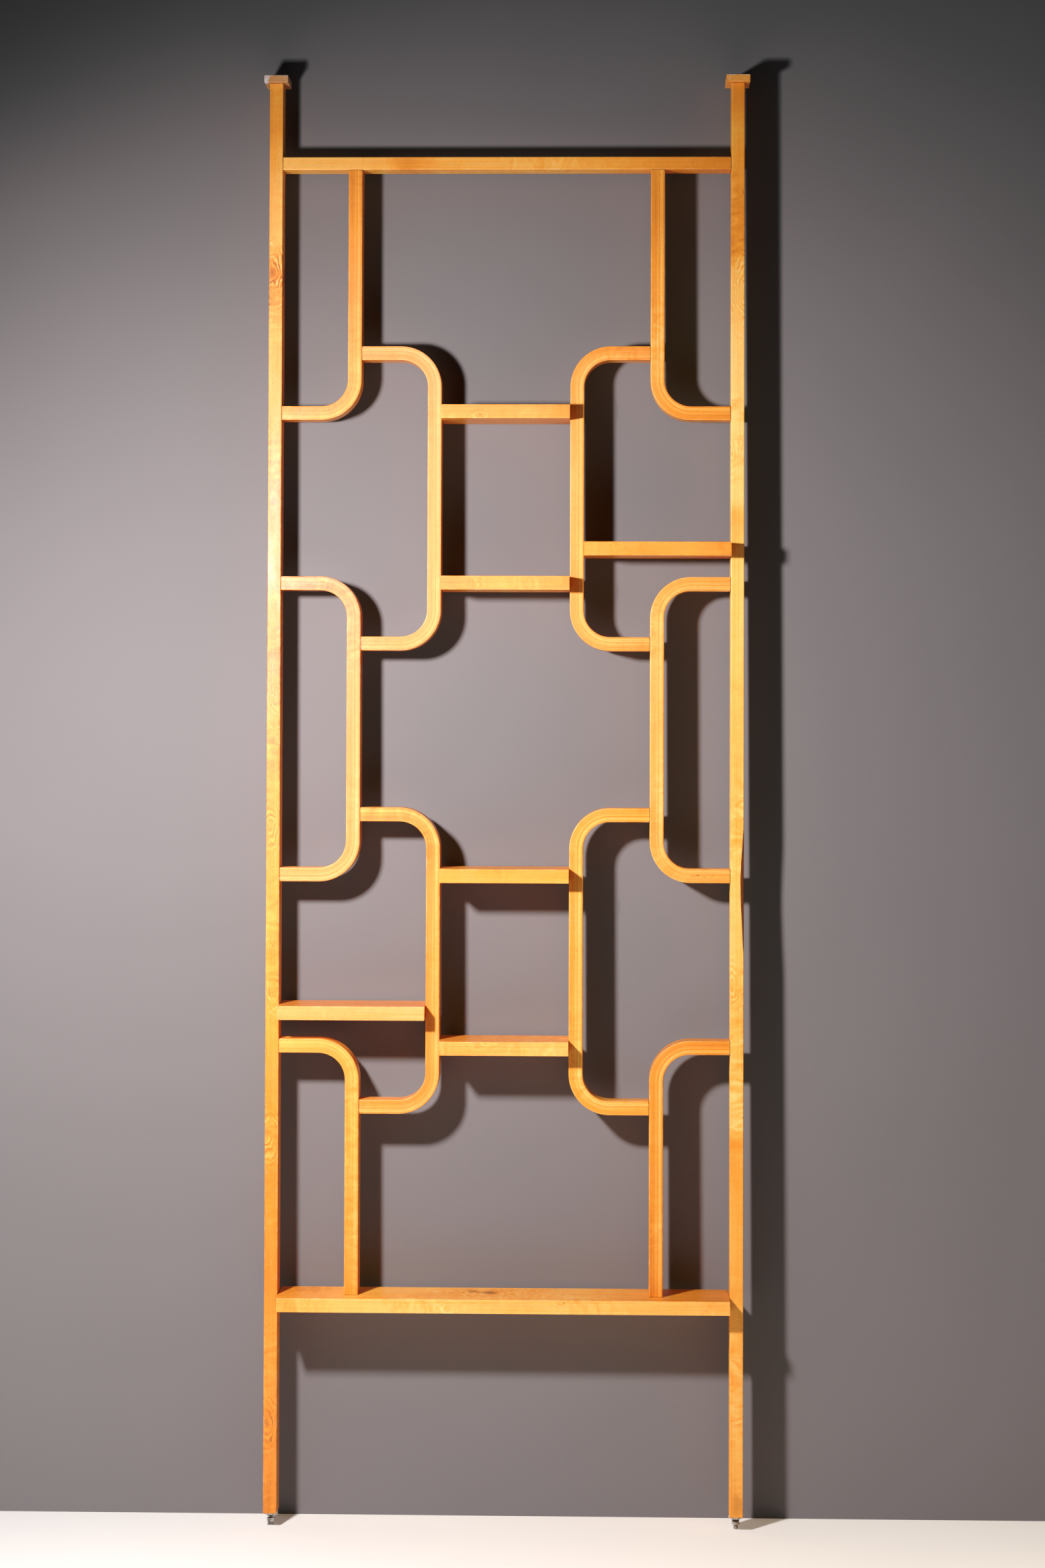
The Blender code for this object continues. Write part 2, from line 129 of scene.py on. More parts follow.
def sawn_board(low, high, axes, arris=ARRIS, all_round=False):
    """A planed board between two corners, with its long edges eased."""
    bm = bmesh.new()
    middle, size = (low + high) / 2, high - low
    bmesh.ops.create_cube(bm, size=1, matrix=Matrix.Translation(middle) @ Matrix.Diagonal((*size, 1)))
    edges = [edge for edge in bm.edges
             if all_round or abs(edge.verts[0].co[axes[0]] - edge.verts[1].co[axes[0]]) > TINY]
    bmesh.ops.bevel(bm, geom=edges, offset=arris, offset_type="OFFSET", segments=ARRIS_STEPS,
                    profile=0.5, affect="EDGES", material=-1)
    return bm, middle


def cut_across(bm, point, normal):
    """Cuts every face that a plane crosses, and takes nothing away."""
    bmesh.ops.bisect_plane(bm, geom=bm.verts[:] + bm.edges[:] + bm.faces[:], plane_co=point,
                           plane_no=normal, dist=TINY)


def bend_runs(corners):
    """A bent bar's centre line as straight runs and quarter turns: length, start, heading, turn."""
    found, here = [], corners[0]
    for corner, after in zip(corners[1:], corners[2:]):
        heading = (corner - here) / abs(corner - here)
        leaving = (after - corner) / abs(after - corner)
        turn = 1 if (leaving / heading).imag > 0 else -1
        entry = corner - heading * BEND_RADIUS
        found.append((abs(entry - here), here, heading, 0))
        found.append((BEND_RADIUS * math.pi / 2, entry, heading, turn))
        here = corner + leaving * BEND_RADIUS
    heading = (corners[-1] - here) / abs(corners[-1] - here)
    found.append((abs(corners[-1] - here), here, heading, 0))
    return found


def on_centre_line(found, along):
    """The point and heading of the centre line at a distance along it."""
    for number, (length, start, heading, turn) in enumerate(found):
        if along <= length or number == len(found) - 1:
            break
        along -= length
    if not turn:
        return start + heading * along, heading
    hub = start + heading * 1j * turn * BEND_RADIUS
    swing = cmath.exp(1j * turn * along / BEND_RADIUS)
    return hub + (start - hub) * swing, heading * swing


def bent_bar(corners, depth):
    """Veneers glued up as a straight bar, then bent along a line in the plane of the divider."""
    found = bend_runs(corners)
    length = sum(run[0] for run in found)
    low, high = Vector((0, -depth / 2, -LAMINATE / 2)), Vector((length, depth / 2, LAMINATE / 2))
    bm, _ = sawn_board(low, high, LEVEL)
    lay_grain(bm, Vector(), LEVEL)
    along = 0
    for run_length, _, _, turn in found:
        for step in range(BEND_STATIONS + 1 if turn else 0):
            station = along + run_length * step / BEND_STATIONS
            cut_across(bm, Vector((station, 0, 0)), Vector((1, 0, 0)))
        along += run_length
    for vert in bm.verts:
        point, heading = on_centre_line(found, vert.co.x)
        point += heading * 1j * vert.co.z
        vert.co = Vector((point.real, vert.co.y, point.imag))
    return bm, length


def bar_corners(kind, low, high):
    """The corners of a bent bar's centre line, for the right-hand side."""
    spine = low.x + LAMINATE / 2
    top, bottom = high.z - LAMINATE / 2, low.z + LAMINATE / 2
    if kind == "top_bend":
        return [complex(spine, high.z), complex(spine, bottom), complex(high.x, bottom)]
    if kind == "bottom_bend":
        return [complex(high.x, top), complex(spine, top), complex(spine, low.z)]
    return [complex(high.x, top), complex(spine, top), complex(spine, bottom), complex(high.x, bottom)]


def make_bent_bars(side):
    """The five bent bars of one side."""
    for kind in ("top_bend", "upper_loop", "middle_loop", "lower_loop", "bottom_bend"):
        name = f"{side}_{kind}"
        low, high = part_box(name)
        if side == "left":
            low.x, high.x = -high.x, -low.x
        corners = bar_corners(kind, low, high)
        if side == "left":
            corners = [-corner.conjugate() for corner in corners]
        bm, length = bent_bar(corners, high.y - low.y)
        made = piece(f"{name}_laminated_bar", bm, "frame", name)
        made.data.materials.append(laminated_wood(name, length))


def bore_foot(bm, low, middle):
    """Bores a post's lower end for the foot's spigot and stud."""
    underside = min(bm.faces, key=lambda face: face.calc_center_median().z)
    edge = list(underside.edges)
    bmesh.ops.delete(bm, geom=[underside], context="FACES_ONLY")
    at = Matrix.Translation((middle.x, middle.y, low.z))
    ring = bmesh.ops.create_circle(bm, segments=BORE_SIDES, radius=SPIGOT_BORE, matrix=at)["verts"]
    rim = list({edge for vert in ring for edge in vert.link_edges})
    bmesh.ops.bridge_loops(bm, edges=edge + rim)
    for rise, radius in ((SPIGOT_BORE_DEPTH, SPIGOT_BORE), (0, STUD_BORE),
                         (STUD_BORE_TOP - low.z - SPIGOT_BORE_DEPTH, STUD_BORE)):
        grown = bmesh.ops.extrude_edge_only(bm, edges=rim)["geom"]
        verts = [item for item in grown if isinstance(item, bmesh.types.BMVert)]
        rim = [item for item in grown if isinstance(item, bmesh.types.BMEdge)
               and all(vert in verts for vert in item.verts)]
        for vert in verts:
            out = Vector((vert.co.x - middle.x, vert.co.y - middle.y, 0)).normalized() * radius
            vert.co = Vector((middle.x + out.x, middle.y + out.y, vert.co.z + rise))
    bmesh.ops.contextual_create(bm, geom=rim)


def wane_share(height):
    """How much of the wane's full width is there at a height, from 0 to 1."""
    if not WANE_BOTTOM < height < WANE_TOP:
        return 0.0
    far = WANE_TOP if height > WANE_DEEPEST else WANE_BOTTOM
    share = max(0.0, (far - height) / (far - WANE_DEEPEST))
    return share * share * (3 - 2 * share)


def hollow_arris(bm, low, high):
    """Hollows the front outer arris of the right post, as the wane does."""
    for number in range(WANE_STATIONS + 1):
        height = WANE_BOTTOM + (WANE_TOP - WANE_BOTTOM) * number / WANE_STATIONS
        cut_across(bm, Vector((0, 0, height)), Vector((0, 0, 1)))
    for vert in bm.verts:
        inward, back = high.x - vert.co.x, vert.co.y - low.y
        share = wane_share(vert.co.z)
        if share and inward < ARRIS + TINY and back < ARRIS + TINY:
            turn = math.atan2(ARRIS - back, ARRIS - inward)
            along = turn / (math.pi / 2)
            ripple = Vector((along * WANE_RIPPLES[0], 0, vert.co.z * WANE_RIPPLES[1]))
            uneven = 1 + WANE_UNEVEN * noise.noise(ripple)
            flat = Vector((WANE_ACROSS * along, WANE_BACK * (1 - along))) * uneven
            inward += (max(flat.x, 0) - inward) * share
            back += (max(flat.y, 0) - back) * share
            vert.co.x, vert.co.y = high.x - inward, low.y + back


def make_post(side):
    """One upright, bored at its foot."""
    name = f"{side}_post"
    low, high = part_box(name)
    bm, middle = sawn_board(low, high, UPRIGHT)
    if side == "right":
        hollow_arris(bm, low, high)
    bore_foot(bm, low, middle)
    lay_grain(bm, Vector((middle.x, middle.y, 0)), UPRIGHT)
    if side == "right":
        for face in bm.faces:
            centre = face.calc_center_median()
            waney = high.x - centre.x < WANE_ACROSS and centre.y - low.y < WANE_BACK
            if waney and WANE_LEAST < wane_share(centre.z) and abs(face.normal.z) < LEVEL_ENOUGH:
                face.material_index = int(min(face.normal.x, -face.normal.y) > WANE_TURNED)
    made = piece(f"{side}_planed_post", bm, "frame", name)
    made.data.materials.append(solid_wood(name))
    if side == "right":
        made.data.materials.append(unlacquered("waney_edge", grain_place, *WANE))


def make_cap(side):
    """The block that presses on the ceiling."""
    name = f"{side}_ceiling_cap"
    bm, middle = sawn_board(*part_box(name), CROSSWAYS, CAP_ARRIS, all_round=True)
    lay_grain(bm, middle, CROSSWAYS)
    made = piece(f"{side}_ceiling_block", bm, "frame", name)
    made.data.materials.append(solid_wood(name))


def make_level_boards():
    """The rail and the shelves, each cut to fit between what carries it."""
    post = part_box("right_post")[0].x
    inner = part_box("right_upper_loop")[0].x
    spine = inner + LAMINATE
    centres = [(f"{place}_centre_shelf", -inner, inner) for place in ("first", "second", "third", "fourth")]
    for name, left, right in (
            ("top_rail", -post, post), ("bottom_shelf", -post, post), *centres,
            ("upper_right_shelf", spine, post), ("lower_left_shelf", -post, -spine)):
        low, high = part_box(name)
        low.x, high.x = left + GLUE_LINE, right - GLUE_LINE
        bm, middle = sawn_board(low, high, LEVEL)
        lay_grain(bm, Vector((0, middle.y, middle.z)), LEVEL)
        made = piece(f"{name}_board", bm, "frame", name)
        made.data.materials.append(solid_wood(name))


def make_collar(side):
    """A flanged collar: a spigot let into the post, a wide rim under it and a neck."""
    name = f"{side}_foot_collar"
    low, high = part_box(name)
    middle = (low + high) / 2
    rim = (high.x - low.x) / 2
    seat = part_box(f"{side}_post")[0].z - GLUE_LINE
    outline = [(STUD_BORE, low.z), (NECK_RADIUS - NECK_EASE, low.z), (NECK_RADIUS, low.z + NECK_EASE),
               (NECK_RADIUS, low.z + NECK_HEIGHT), (rim - NECK_EASE, low.z + NECK_HEIGHT),
               (rim, low.z + NECK_HEIGHT + NECK_EASE), (rim, seat - NECK_EASE), (rim - NECK_EASE, seat),
               (SPIGOT_BORE - GLUE_LINE, seat), (SPIGOT_BORE - GLUE_LINE, high.z), (STUD_BORE, high.z)]
    bm = bmesh.new()
    verts = [bm.verts.new((middle.x + out, middle.y, height)) for out, height in outline]
    edges = [bm.edges.new(pair) for pair in zip(verts, verts[1:] + verts[:1])]
    bmesh.ops.spin(bm, geom=verts + edges, cent=middle, axis=(0, 0, 1), angle=math.tau, steps=RIM_SIDES,
                   use_merge=True)
    made = piece(f"{side}_flanged_collar", bm, "frame", name)
    made.data.materials.append(COLLAR_STEEL)


def make_stud(side):
    """A stud with its thread cut along its whole length, and its ends pointed."""
    name = f"{side}_foot_stud"
    low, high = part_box(name)
    middle = (low + high) / 2
    bm = bmesh.new()
    turns = math.ceil((high.z - low.z) / THREAD_PITCH) + SPARE_TURNS
    start = low.z - THREAD_PITCH
    rise = THREAD_PITCH / THREAD_STEPS
    flank = [(THREAD_ROOT, 0), *[(THREAD_RADIUS, share) for share in THREAD_CREST], (THREAD_ROOT, 1)]
    verts = [bm.verts.new((middle.x + radius, middle.y, start + share * THREAD_PITCH))
             for radius, share in flank]
    edges = [bm.edges.new(pair) for pair in zip(verts, verts[1:])]
    bmesh.ops.spin(bm, geom=verts + edges, cent=middle, axis=(0, 0, 1), dvec=(0, 0, rise),
                   angle=math.tau * turns, steps=THREAD_STEPS * turns, use_merge=False)
    bmesh.ops.remove_doubles(bm, verts=bm.verts, dist=THREAD_WELD)
    for height, normal in ((low.z, -1), (high.z, 1)):
        bmesh.ops.bisect_plane(bm, geom=bm.verts[:] + bm.edges[:] + bm.faces[:], dist=TINY,
                               plane_co=(0, 0, height), plane_no=(0, 0, normal), clear_outer=True)
        rim = [edge for edge in bm.edges if edge.is_boundary
               and all(abs(vert.co.z - height) < NEARLY for vert in edge.verts)]
        bmesh.ops.edgenet_fill(bm, edges=rim)
    for vert in bm.verts:
        out = Vector((vert.co.x - middle.x, vert.co.y - middle.y))
        near = min(vert.co.z - low.z, high.z - vert.co.z)
        most = THREAD_RADIUS - max(0, STUD_POINT - near)
        if out.length > most:
            out *= most / out.length
            vert.co.x, vert.co.y = middle.x + out.x, middle.y + out.y
    made = piece(f"{side}_threaded_stud", bm, name, name)
    made.data.materials.append(STEELS[side])


# Materials

# The sockets of a Mix node that mixes colours.
MIX_FACTOR, MIX_FIRST, MIX_SECOND, MIX_RESULT = 0, 6, 7, 2

# A pace is how often a noise changes in a metre along, across and deep. Edges are where a noise starts to
# count and where it counts in full.

# The grain, and how much each of its noises tells in the tone and in the relief.
DRIFT_PACE, DRIFT_TONE = (3.1, 22, 22), 0.55
CURL_PACE, CURL_LEAST = (60, 26, 26), 0.25
PATCH_PACE, PATCH_EDGES = (5.2, 9, 9), (0.44, 0.62)
STREAK_PACE, STREAK_TONE, STREAK_RISE = (3.2, 420, 420), 0.65, 0.6
FLECK_PACE, FLECK_EDGES, FLECK_DENT = (190, 1900, 1900), (0.68, 0.76), 0.5
GRAIN_DEPTH = 0.00012

# The glue lines of a bent bar: how many plies they wander, and how they come and go along it.
WANDER_PACE, WANDER_PLIES = (5.5, 130, 90), 1.1
LINE_EDGES = (0.41, 0.475)
LINE_PACE, LINE_STRENGTHS = (5.0, 1, 1), (0.40, 0.62, 0.12, 1.0)
VENEER_TONE = 0.28

# Pale wear on the eased edges, partly real wear and partly a painted glint along them, and grime in the
# joints: how ragged, how far they reach, and the share of that at which they start to fade.
WEAR_PACE, WEAR_SHARES, WEAR_REACH, WEAR_FADES = (55, 160, 160), (0.35, 0.75, 0.2, 1.6), 0.0013, 0.6
GRIME_PACE, GRIME_REACHES, GRIME_FADES = (160, 160, 160), (0.35, 0.72, 0.0006, 0.0024), 0.2

# The rings of a knot, how they bend, break and fade, and how a knot is drawn out along the grain.
RING_GAP = 0.0060
RING_BEND_PACE, RING_BEND = (45, 90, 90), 0.014
RING_BREAK_PACE, RING_BREAKS = (34, 60, 60), (0.42, 0.58, 0.15, 1.0)
RING_START, RING_FADES, HEART_FADES = (0.6, 1.3), 0.35, 0.2
KNOT_SHAPE = (0.50, 1, 0.5)


def plug(tree, sockets, values):
    """Joins or fills inputs."""
    for name, value in values.items():
        if isinstance(value, bpy.types.NodeSocket):
            tree.links.new(value, sockets[name])
        else:
            sockets[name].default_value = value


def put(tree, kind, inputs=(), **settings):
    """Adds a node, sets it up, and joins or fills its inputs."""
    made = tree.nodes.new("ShaderNode" + kind)
    for name, value in settings.items():
        setattr(made, name, value)
    plug(tree, made.inputs, dict(inputs))
    return made


def sums(tree, operation, *values, clamp=False):
    """A Math node's result."""
    return put(tree, "Math", dict(enumerate(values)), operation=operation, use_clamp=clamp).outputs[0]


def plus(tree, first, second, clamp=False):
    """Two values added."""
    return sums(tree, "ADD", first, second, clamp=clamp)


def times(tree, first, second):
    """Two values multiplied."""
    return sums(tree, "MULTIPLY", first, second)


def centred(tree, value, size):
    """A value from 0 to 1 as one round nought, as strong as given."""
    return times(tree, sums(tree, "SUBTRACT", value, 0.5), size)


def step(tree, value, low, high, to_low=0.0, to_high=1.0):
    """A smooth step from one value to another."""
    return put(tree, "MapRange", {"Value": value, "From Min": low, "From Max": high, "To Min": to_low,
                                  "To Max": to_high}, interpolation_type="SMOOTHSTEP").outputs[0]


def fading(tree, value, low):
    """Full up to a low value, and gone at one."""
    return step(tree, value, low, 1.0, 1.0, 0.0)


def tint(tree, factor, first, second, mode="MIX"):
    """Two colours mixed."""
    return put(tree, "Mix", {MIX_FACTOR: factor, MIX_FIRST: first, MIX_SECOND: second}, data_type="RGBA",
               blend_type=mode, clamp_factor=True).outputs[MIX_RESULT]


def covered(tree, colour, layers):
    """A colour under others: where each lies, how strongly it covers, and its colour."""
    for mask, strength, cover in layers:
        colour = tint(tree, times(tree, mask, strength), colour, cover)
    return colour


def ramp(tree, value, stops):
    """A colour ramp from a few stops: place, colour."""
    made = put(tree, "ValToRGB", {"Fac": value})
    elements = made.color_ramp.elements
    elements[0].position, elements[1].position = stops[0][0], stops[-1][0]
    for place, _ in stops[1:-1]:
        elements.new(place)
    for element, (_, colour) in zip(elements, stops):
        element.color = colour
    return made.outputs[0]


def axis(tree, place, letter):
    """One of a place's three measures."""
    return put(tree, "SeparateXYZ", {0: place}).outputs[letter]


def moved_by(tree, operation, place, other):
    """A place moved or stretched by another."""
    return put(tree, "VectorMath", {0: place, 1: other}, operation=operation).outputs[0]


def cloud(tree, place, pace, detail=2.0, distortion=0.0, roughness=0.5, output=0):
    """Noise from 0 to 1."""
    return put(tree, "TexNoise", {"Vector": moved_by(tree, "MULTIPLY", place, pace), "Scale": 1.0,
                                  "Detail": detail, "Roughness": roughness,
                                  "Distortion": distortion}).outputs[output]


def grain_place(tree):
    """Where a point is along, across and deep in its piece."""
    return put(tree, "Attribute", attribute_name=PLACE).outputs["Vector"]


def own_place(tree):
    """Where a point is in its object."""
    return put(tree, "TexCoord").outputs["Object"]


def new_group(name, inputs, outputs):
    """An empty node group with its sockets."""
    tree = bpy.data.node_groups.new(name, "ShaderNodeTree")
    for direction, sockets in (("INPUT", inputs), ("OUTPUT", outputs)):
        for socket, kind in sockets:
            tree.interface.new_socket(socket, in_out=direction, socket_type="NodeSocket" + kind)
    inside = tree.nodes.new("NodeGroupInput").outputs
    outside = tree.nodes.new("NodeGroupOutput").inputs
    return tree, inside, outside


def grain_group():
    """Tone, fine streaks, dark flecks and relief of lacquered wood. X is along the grain."""
    tree, inside, outside = new_group(
        "wood_grain", [("Place", "Vector"), ("Figure", "Float")],
        [("Tone", "Float"), ("Streaks", "Float"), ("Flecks", "Float"), ("Relief", "Float")])
    place = inside["Place"]
    drift = cloud(tree, place, DRIFT_PACE)
    curl = cloud(tree, place, CURL_PACE, detail=2.5, distortion=1.1)
    patches = step(tree, cloud(tree, place, PATCH_PACE, detail=1), *PATCH_EDGES)
    streaks = cloud(tree, place, STREAK_PACE, detail=3, roughness=0.62)
    flecks = step(tree, cloud(tree, place, FLECK_PACE, detail=0), *FLECK_EDGES)
    figured = times(tree, centred(tree, curl, plus(tree, patches, CURL_LEAST)), inside["Figure"])
    tone = plus(tree, centred(tree, drift, DRIFT_TONE), figured)
    relief = sums(tree, "SUBTRACT", times(tree, streaks, STREAK_RISE), times(tree, flecks, FLECK_DENT))
    plug(tree, outside, {"Tone": plus(tree, tone, centred(tree, streaks, STREAK_TONE)),
                         "Streaks": streaks, "Flecks": flecks, "Relief": relief})
    return tree


def plies_group():
    """The glue lines and the veneers' own tones in a bent bar. Y is across the veneers."""
    tree, inside, outside = new_group("glued_veneers", [("Place", "Vector")],
                                      [("Lines", "Float"), ("Veneer", "Float")])
    place = inside["Place"]
    wander = times(tree, cloud(tree, place, WANDER_PACE), WANDER_PLIES)
    ply = plus(tree, sums(tree, "DIVIDE", axis(tree, place, "Y"), PLY), wander)
    number = sums(tree, "FLOOR", ply)
    edge = sums(tree, "ABSOLUTE", sums(tree, "SUBTRACT", sums(tree, "FRACT", ply), 0.5))
    stretch = put(tree, "CombineXYZ", {"X": axis(tree, place, "X"), "Y": number}).outputs[0]
    strength = step(tree, cloud(tree, stretch, LINE_PACE, detail=1), *LINE_STRENGTHS)
    lines = times(tree, step(tree, edge, *LINE_EDGES), strength)
    own = put(tree, "TexWhiteNoise", {"W": number}, noise_dimensions="1D").outputs[0]
    plug(tree, outside, {"Lines": lines, "Veneer": own})
    return tree


def wear_group():
    """Where hands and knocks have worn the eased edges; the pale drawn there is partly a painted glint."""
    tree, inside, outside = new_group(
        "edge_wear", [("Place", "Vector"), ("Half Across", "Float"), ("Half Deep", "Float"),
                      ("Reach", "Float")], [("Worn", "Float")])
    place = inside["Place"]
    squares = []
    for letter, half in (("Y", "Half Across"), ("Z", "Half Deep")):
        gap = sums(tree, "SUBTRACT", inside[half], sums(tree, "ABSOLUTE", axis(tree, place, letter)))
        squares.append(sums(tree, "POWER", sums(tree, "MAXIMUM", gap, 0), 2))
    far = sums(tree, "SQRT", plus(tree, *squares))
    ragged = step(tree, cloud(tree, place, WEAR_PACE, detail=3), *WEAR_SHARES)
    share = sums(tree, "DIVIDE", far, times(tree, inside["Reach"], ragged))
    plug(tree, outside, {"Worn": fading(tree, share, WEAR_FADES)})
    return tree


def knot_group():
    """A knot or a swirl: fine rings round its centre, and its dark heart."""
    tree, inside, outside = new_group(
        "knot", [("Place", "Vector"), ("Centre", "Vector"), ("Size", "Float"), ("Spread", "Float")],
        [("Rings", "Float"), ("Heart", "Float")])
    place = inside["Place"]
    bent = moved_by(tree, "SUBTRACT", cloud(tree, place, RING_BEND_PACE, output=1), (0.5, 0.5, 0.5))
    bent = put(tree, "VectorMath", {0: bent, "Scale": RING_BEND}, operation="SCALE").outputs[0]
    off = moved_by(tree, "SUBTRACT", place, inside["Centre"])
    off = moved_by(tree, "ADD", moved_by(tree, "MULTIPLY", off, KNOT_SHAPE), bent)
    far = put(tree, "VectorMath", {0: off}, operation="LENGTH").outputs["Value"]
    share = sums(tree, "DIVIDE", far, inside["Size"])
    outer = sums(tree, "DIVIDE", far, inside["Spread"])
    rings = sums(tree, "SINE", times(tree, far, math.tau / RING_GAP))
    broken = step(tree, cloud(tree, place, RING_BREAK_PACE, detail=1), *RING_BREAKS)
    fade = times(tree, fading(tree, outer, RING_FADES), step(tree, share, *RING_START))
    plug(tree, outside, {"Rings": times(tree, rings, times(tree, fade, broken)),
                         "Heart": fading(tree, share, HEART_FADES)})
    return tree


def ends_group():
    """Glue and grime in the joint at each end of a piece."""
    tree, inside, outside = new_group(
        "joint_grime", [("Place", "Vector"), ("Start", "Float"), ("End", "Float")], [("Grime", "Float")])
    along = axis(tree, inside["Place"], "X")
    gap = sums(tree, "MINIMUM", sums(tree, "SUBTRACT", along, inside["Start"]),
               sums(tree, "SUBTRACT", inside["End"], along))
    reach = step(tree, cloud(tree, inside["Place"], GRIME_PACE, detail=3), *GRIME_REACHES)
    plug(tree, outside, {"Grime": fading(tree, sums(tree, "DIVIDE", gap, reach), GRIME_FADES)})
    return tree


def grouped(tree, group, **inputs):
    """A node group placed in a material."""
    made = tree.nodes.new("ShaderNodeGroup")
    made.node_tree = group
    plug(tree, made.inputs, {name.replace("_", " "): value for name, value in inputs.items()})
    return made.outputs


GRAIN, PLIES, WEAR, KNOT, ENDS = grain_group(), plies_group(), wear_group(), knot_group(), ends_group()

# The lacquered wood's colours, from its dullest to its palest.
WOOD_TONES = [(0.00, (0.49, 0.130, 0.016, 1)), (0.25, (0.76, 0.232, 0.027, 1)),
              (0.50, (0.91, 0.330, 0.048, 1)), (0.75, (0.97, 0.470, 0.100, 1)),
              (1.00, (0.99, 0.620, 0.200, 1))]
GLUE_BROWN = (0.38, 0.095, 0.012, 1)
FLECK_BROWN = (0.33, 0.095, 0.016, 1)
KNOT_BROWN = (0.30, 0.060, 0.010, 1)
GRIME_BROWN = (0.16, 0.050, 0.012, 1)
# The pale of the worn edges: partly real wear, partly a painted glint along them.
WORN_PALE_AND_GLINT = (0.95, 0.60, 0.26, 1)
SPECK_WHITE = (0.80, 0.78, 0.72, 1)
PLASTER_WHITE = (0.76, 0.73, 0.74, 1)

# How strongly each of them covers the lacquer.
GLUE_COVER, STREAK_COVER, FLECK_COVER = 0.90, 0.32, 0.35
WORN_COVER, GRIME_COVER, SPECK_COVER = 0.30, 0.75, 0.8

# Each solid board: shift of its grain, how figured it is, and its tone from place to place along it.
BOARDS = {
    "left_post": (0.0, 0.6, [(0.0, 0.20), (0.33, 0.34), (0.5, 0.24), (0.85, 0.45), (1.2, 0.42),
                             (1.45, 0.26), (1.5, 0.11), (1.82, 0.02), (2.15, 0.55), (2.25, 0.21),
                             (2.29, 0.65), (2.46, 0.62), (2.5, 0.45), (2.55, 0.54)]),
    "right_post": (3.1, 0.8, [(0.0, 0.53), (0.55, 0.65), (0.7, 0.53), (0.72, 0.83), (0.96, 0.60),
                              (1.01, 0.77), (1.25, 0.87), (1.5, 0.72), (1.7, 0.83), (1.81, 0.60),
                              (1.84, 0.95), (2.1, 0.95), (2.26, 0.68), (2.275, 0.37), (2.38, 0.41),
                              (2.5, 0.66), (2.55, 0.47)]),
    "top_rail": (5.3, 0.7, [(-0.4, 0.79), (-0.22, 0.71), (-0.18, 0.37), (-0.12, 0.65), (0.15, 0.59),
                            (0.4, 0.33)]),
    "bottom_shelf": (7.7, 0.6, [(-0.4, 0.46), (-0.3, 0.73), (-0.18, 0.77), (0.0, 0.68), (0.2, 0.80),
                                (0.4, 0.66)]),
    "first_centre_shelf": (9.1, 0.6, [(-0.12, 0.47), (0.04, 0.51), (0.12, 0.29)]),
    "second_centre_shelf": (11.9, 0.7, [(-0.12, 0.26), (0.0, 0.53), (0.12, 0.39)]),
    "third_centre_shelf": (13.3, 0.5, [(-0.12, 0.53), (0.12, 0.54)]),
    "fourth_centre_shelf": (15.1, 0.6, [(-0.12, 0.43), (0.0, 0.54), (0.12, 0.70)]),
    "upper_right_shelf": (17.9, 0.6, [(0.15, 0.51), (0.25, 0.36), (0.33, 0.50), (0.4, 0.33)]),
    "lower_left_shelf": (19.7, 0.5, [(-0.4, 0.47), (-0.15, 0.59)]),
    "left_ceiling_cap": (21.1, 0.6, [(-0.1, 0.52), (0.1, 0.52)]),
    "right_ceiling_cap": (23.3, 0.6, [(-0.1, 0.54), (0.1, 0.54)]),
}

# Knots, swirls and dents: where along, across and deep, the sizes of its heart and its rings, and how strong
# its rings and its heart are. In a bent bar a place below nought counts from its last end.
KNOTS = {
    "left_post": [
        (2.245, -0.007, -0.023, 0.008, 0.045, 0.50, 0.50),
        (1.835, -0.003, -0.023, 0.009, 0.016, 0.12, 0.45),
        (1.49, 0.006, -0.023, 0.004, 0.030, 0.15, 0.0),
        (1.25, -0.006, -0.023, 0.004, 0.036, 0.20, 0.0),
        (1.034, 0.001, -0.023, 0.0028, 0.010, 0.10, 0.75),
        (0.955, 0.004, -0.023, 0.004, 0.028, 0.15, 0.0),
        (0.700, -0.008, -0.023, 0.005, 0.036, 0.26, 0.30),
        (0.186, -0.006, -0.023, 0.007, 0.034, 0.26, 0.45)],
    "right_post": [
        (2.388, 0.008, -0.023, 0.0030, 0.009, 0.10, 0.60),
        (2.215, 0.019, -0.023, 0.004, 0.060, 0.26, 0.0),
        (1.925, -0.015, -0.023, 0.004, 0.034, 0.20, 0.0),
        (1.775, -0.003, -0.023, 0.0018, 0.006, 0.0, 0.5),
        (0.970, -0.010, -0.023, 0.004, 0.034, 0.18, 0.0),
        (0.181, 0.001, -0.023, 0.0013, 0.004, 0.0, 0.9),
        (0.048, 0.002, -0.023, 0.015, 0.030, 0.08, 0.35)],
    "first_centre_shelf": [(-0.045, -0.007, -0.060, 0.0028, 0.018, 0.12, 0.5)],
    "second_centre_shelf": [(-0.060, -0.002, -0.060, 0.0026, 0.020, 0.12, 0.4)],
    "upper_right_shelf": [(0.196, 0.004, -0.060, 0.0022, 0.016, 0.12, 0.4)],
    "bottom_shelf": [
        (-0.093, -0.004, -0.060, 0.0030, 0.020, 0.12, 0.25),
        (0.108, 0.009, -0.060, 0.0024, 0.016, 0.12, 0.5),
        (-0.026, 0.0125, 0.012, 0.0110, 0.045, 0.20, 0.8),
        (-0.054, 0.0125, 0.020, 0.0080, 0.030, 0.16, 0.7)],
    "right_middle_loop": [
        (-0.066, 0.0, -0.023, 0.0016, 0.004, 0.0, 0.85),
        (-0.058, 0.0008, -0.023, 0.0020, 0.004, 0.0, 0.9),
        (-0.047, 0.0, -0.023, 0.0016, 0.004, 0.0, 0.85),
        (-0.030, -0.0006, -0.023, 0.0018, 0.004, 0.0, 0.8)],
    "right_lower_loop": [(0.345, 0.001, -0.023, 0.0018, 0.004, 0.0, 0.7)],
    "fourth_centre_shelf": [(-0.03, 0.0125, -0.035, 0.0040, 0.026, 0.16, 0.3)],
}
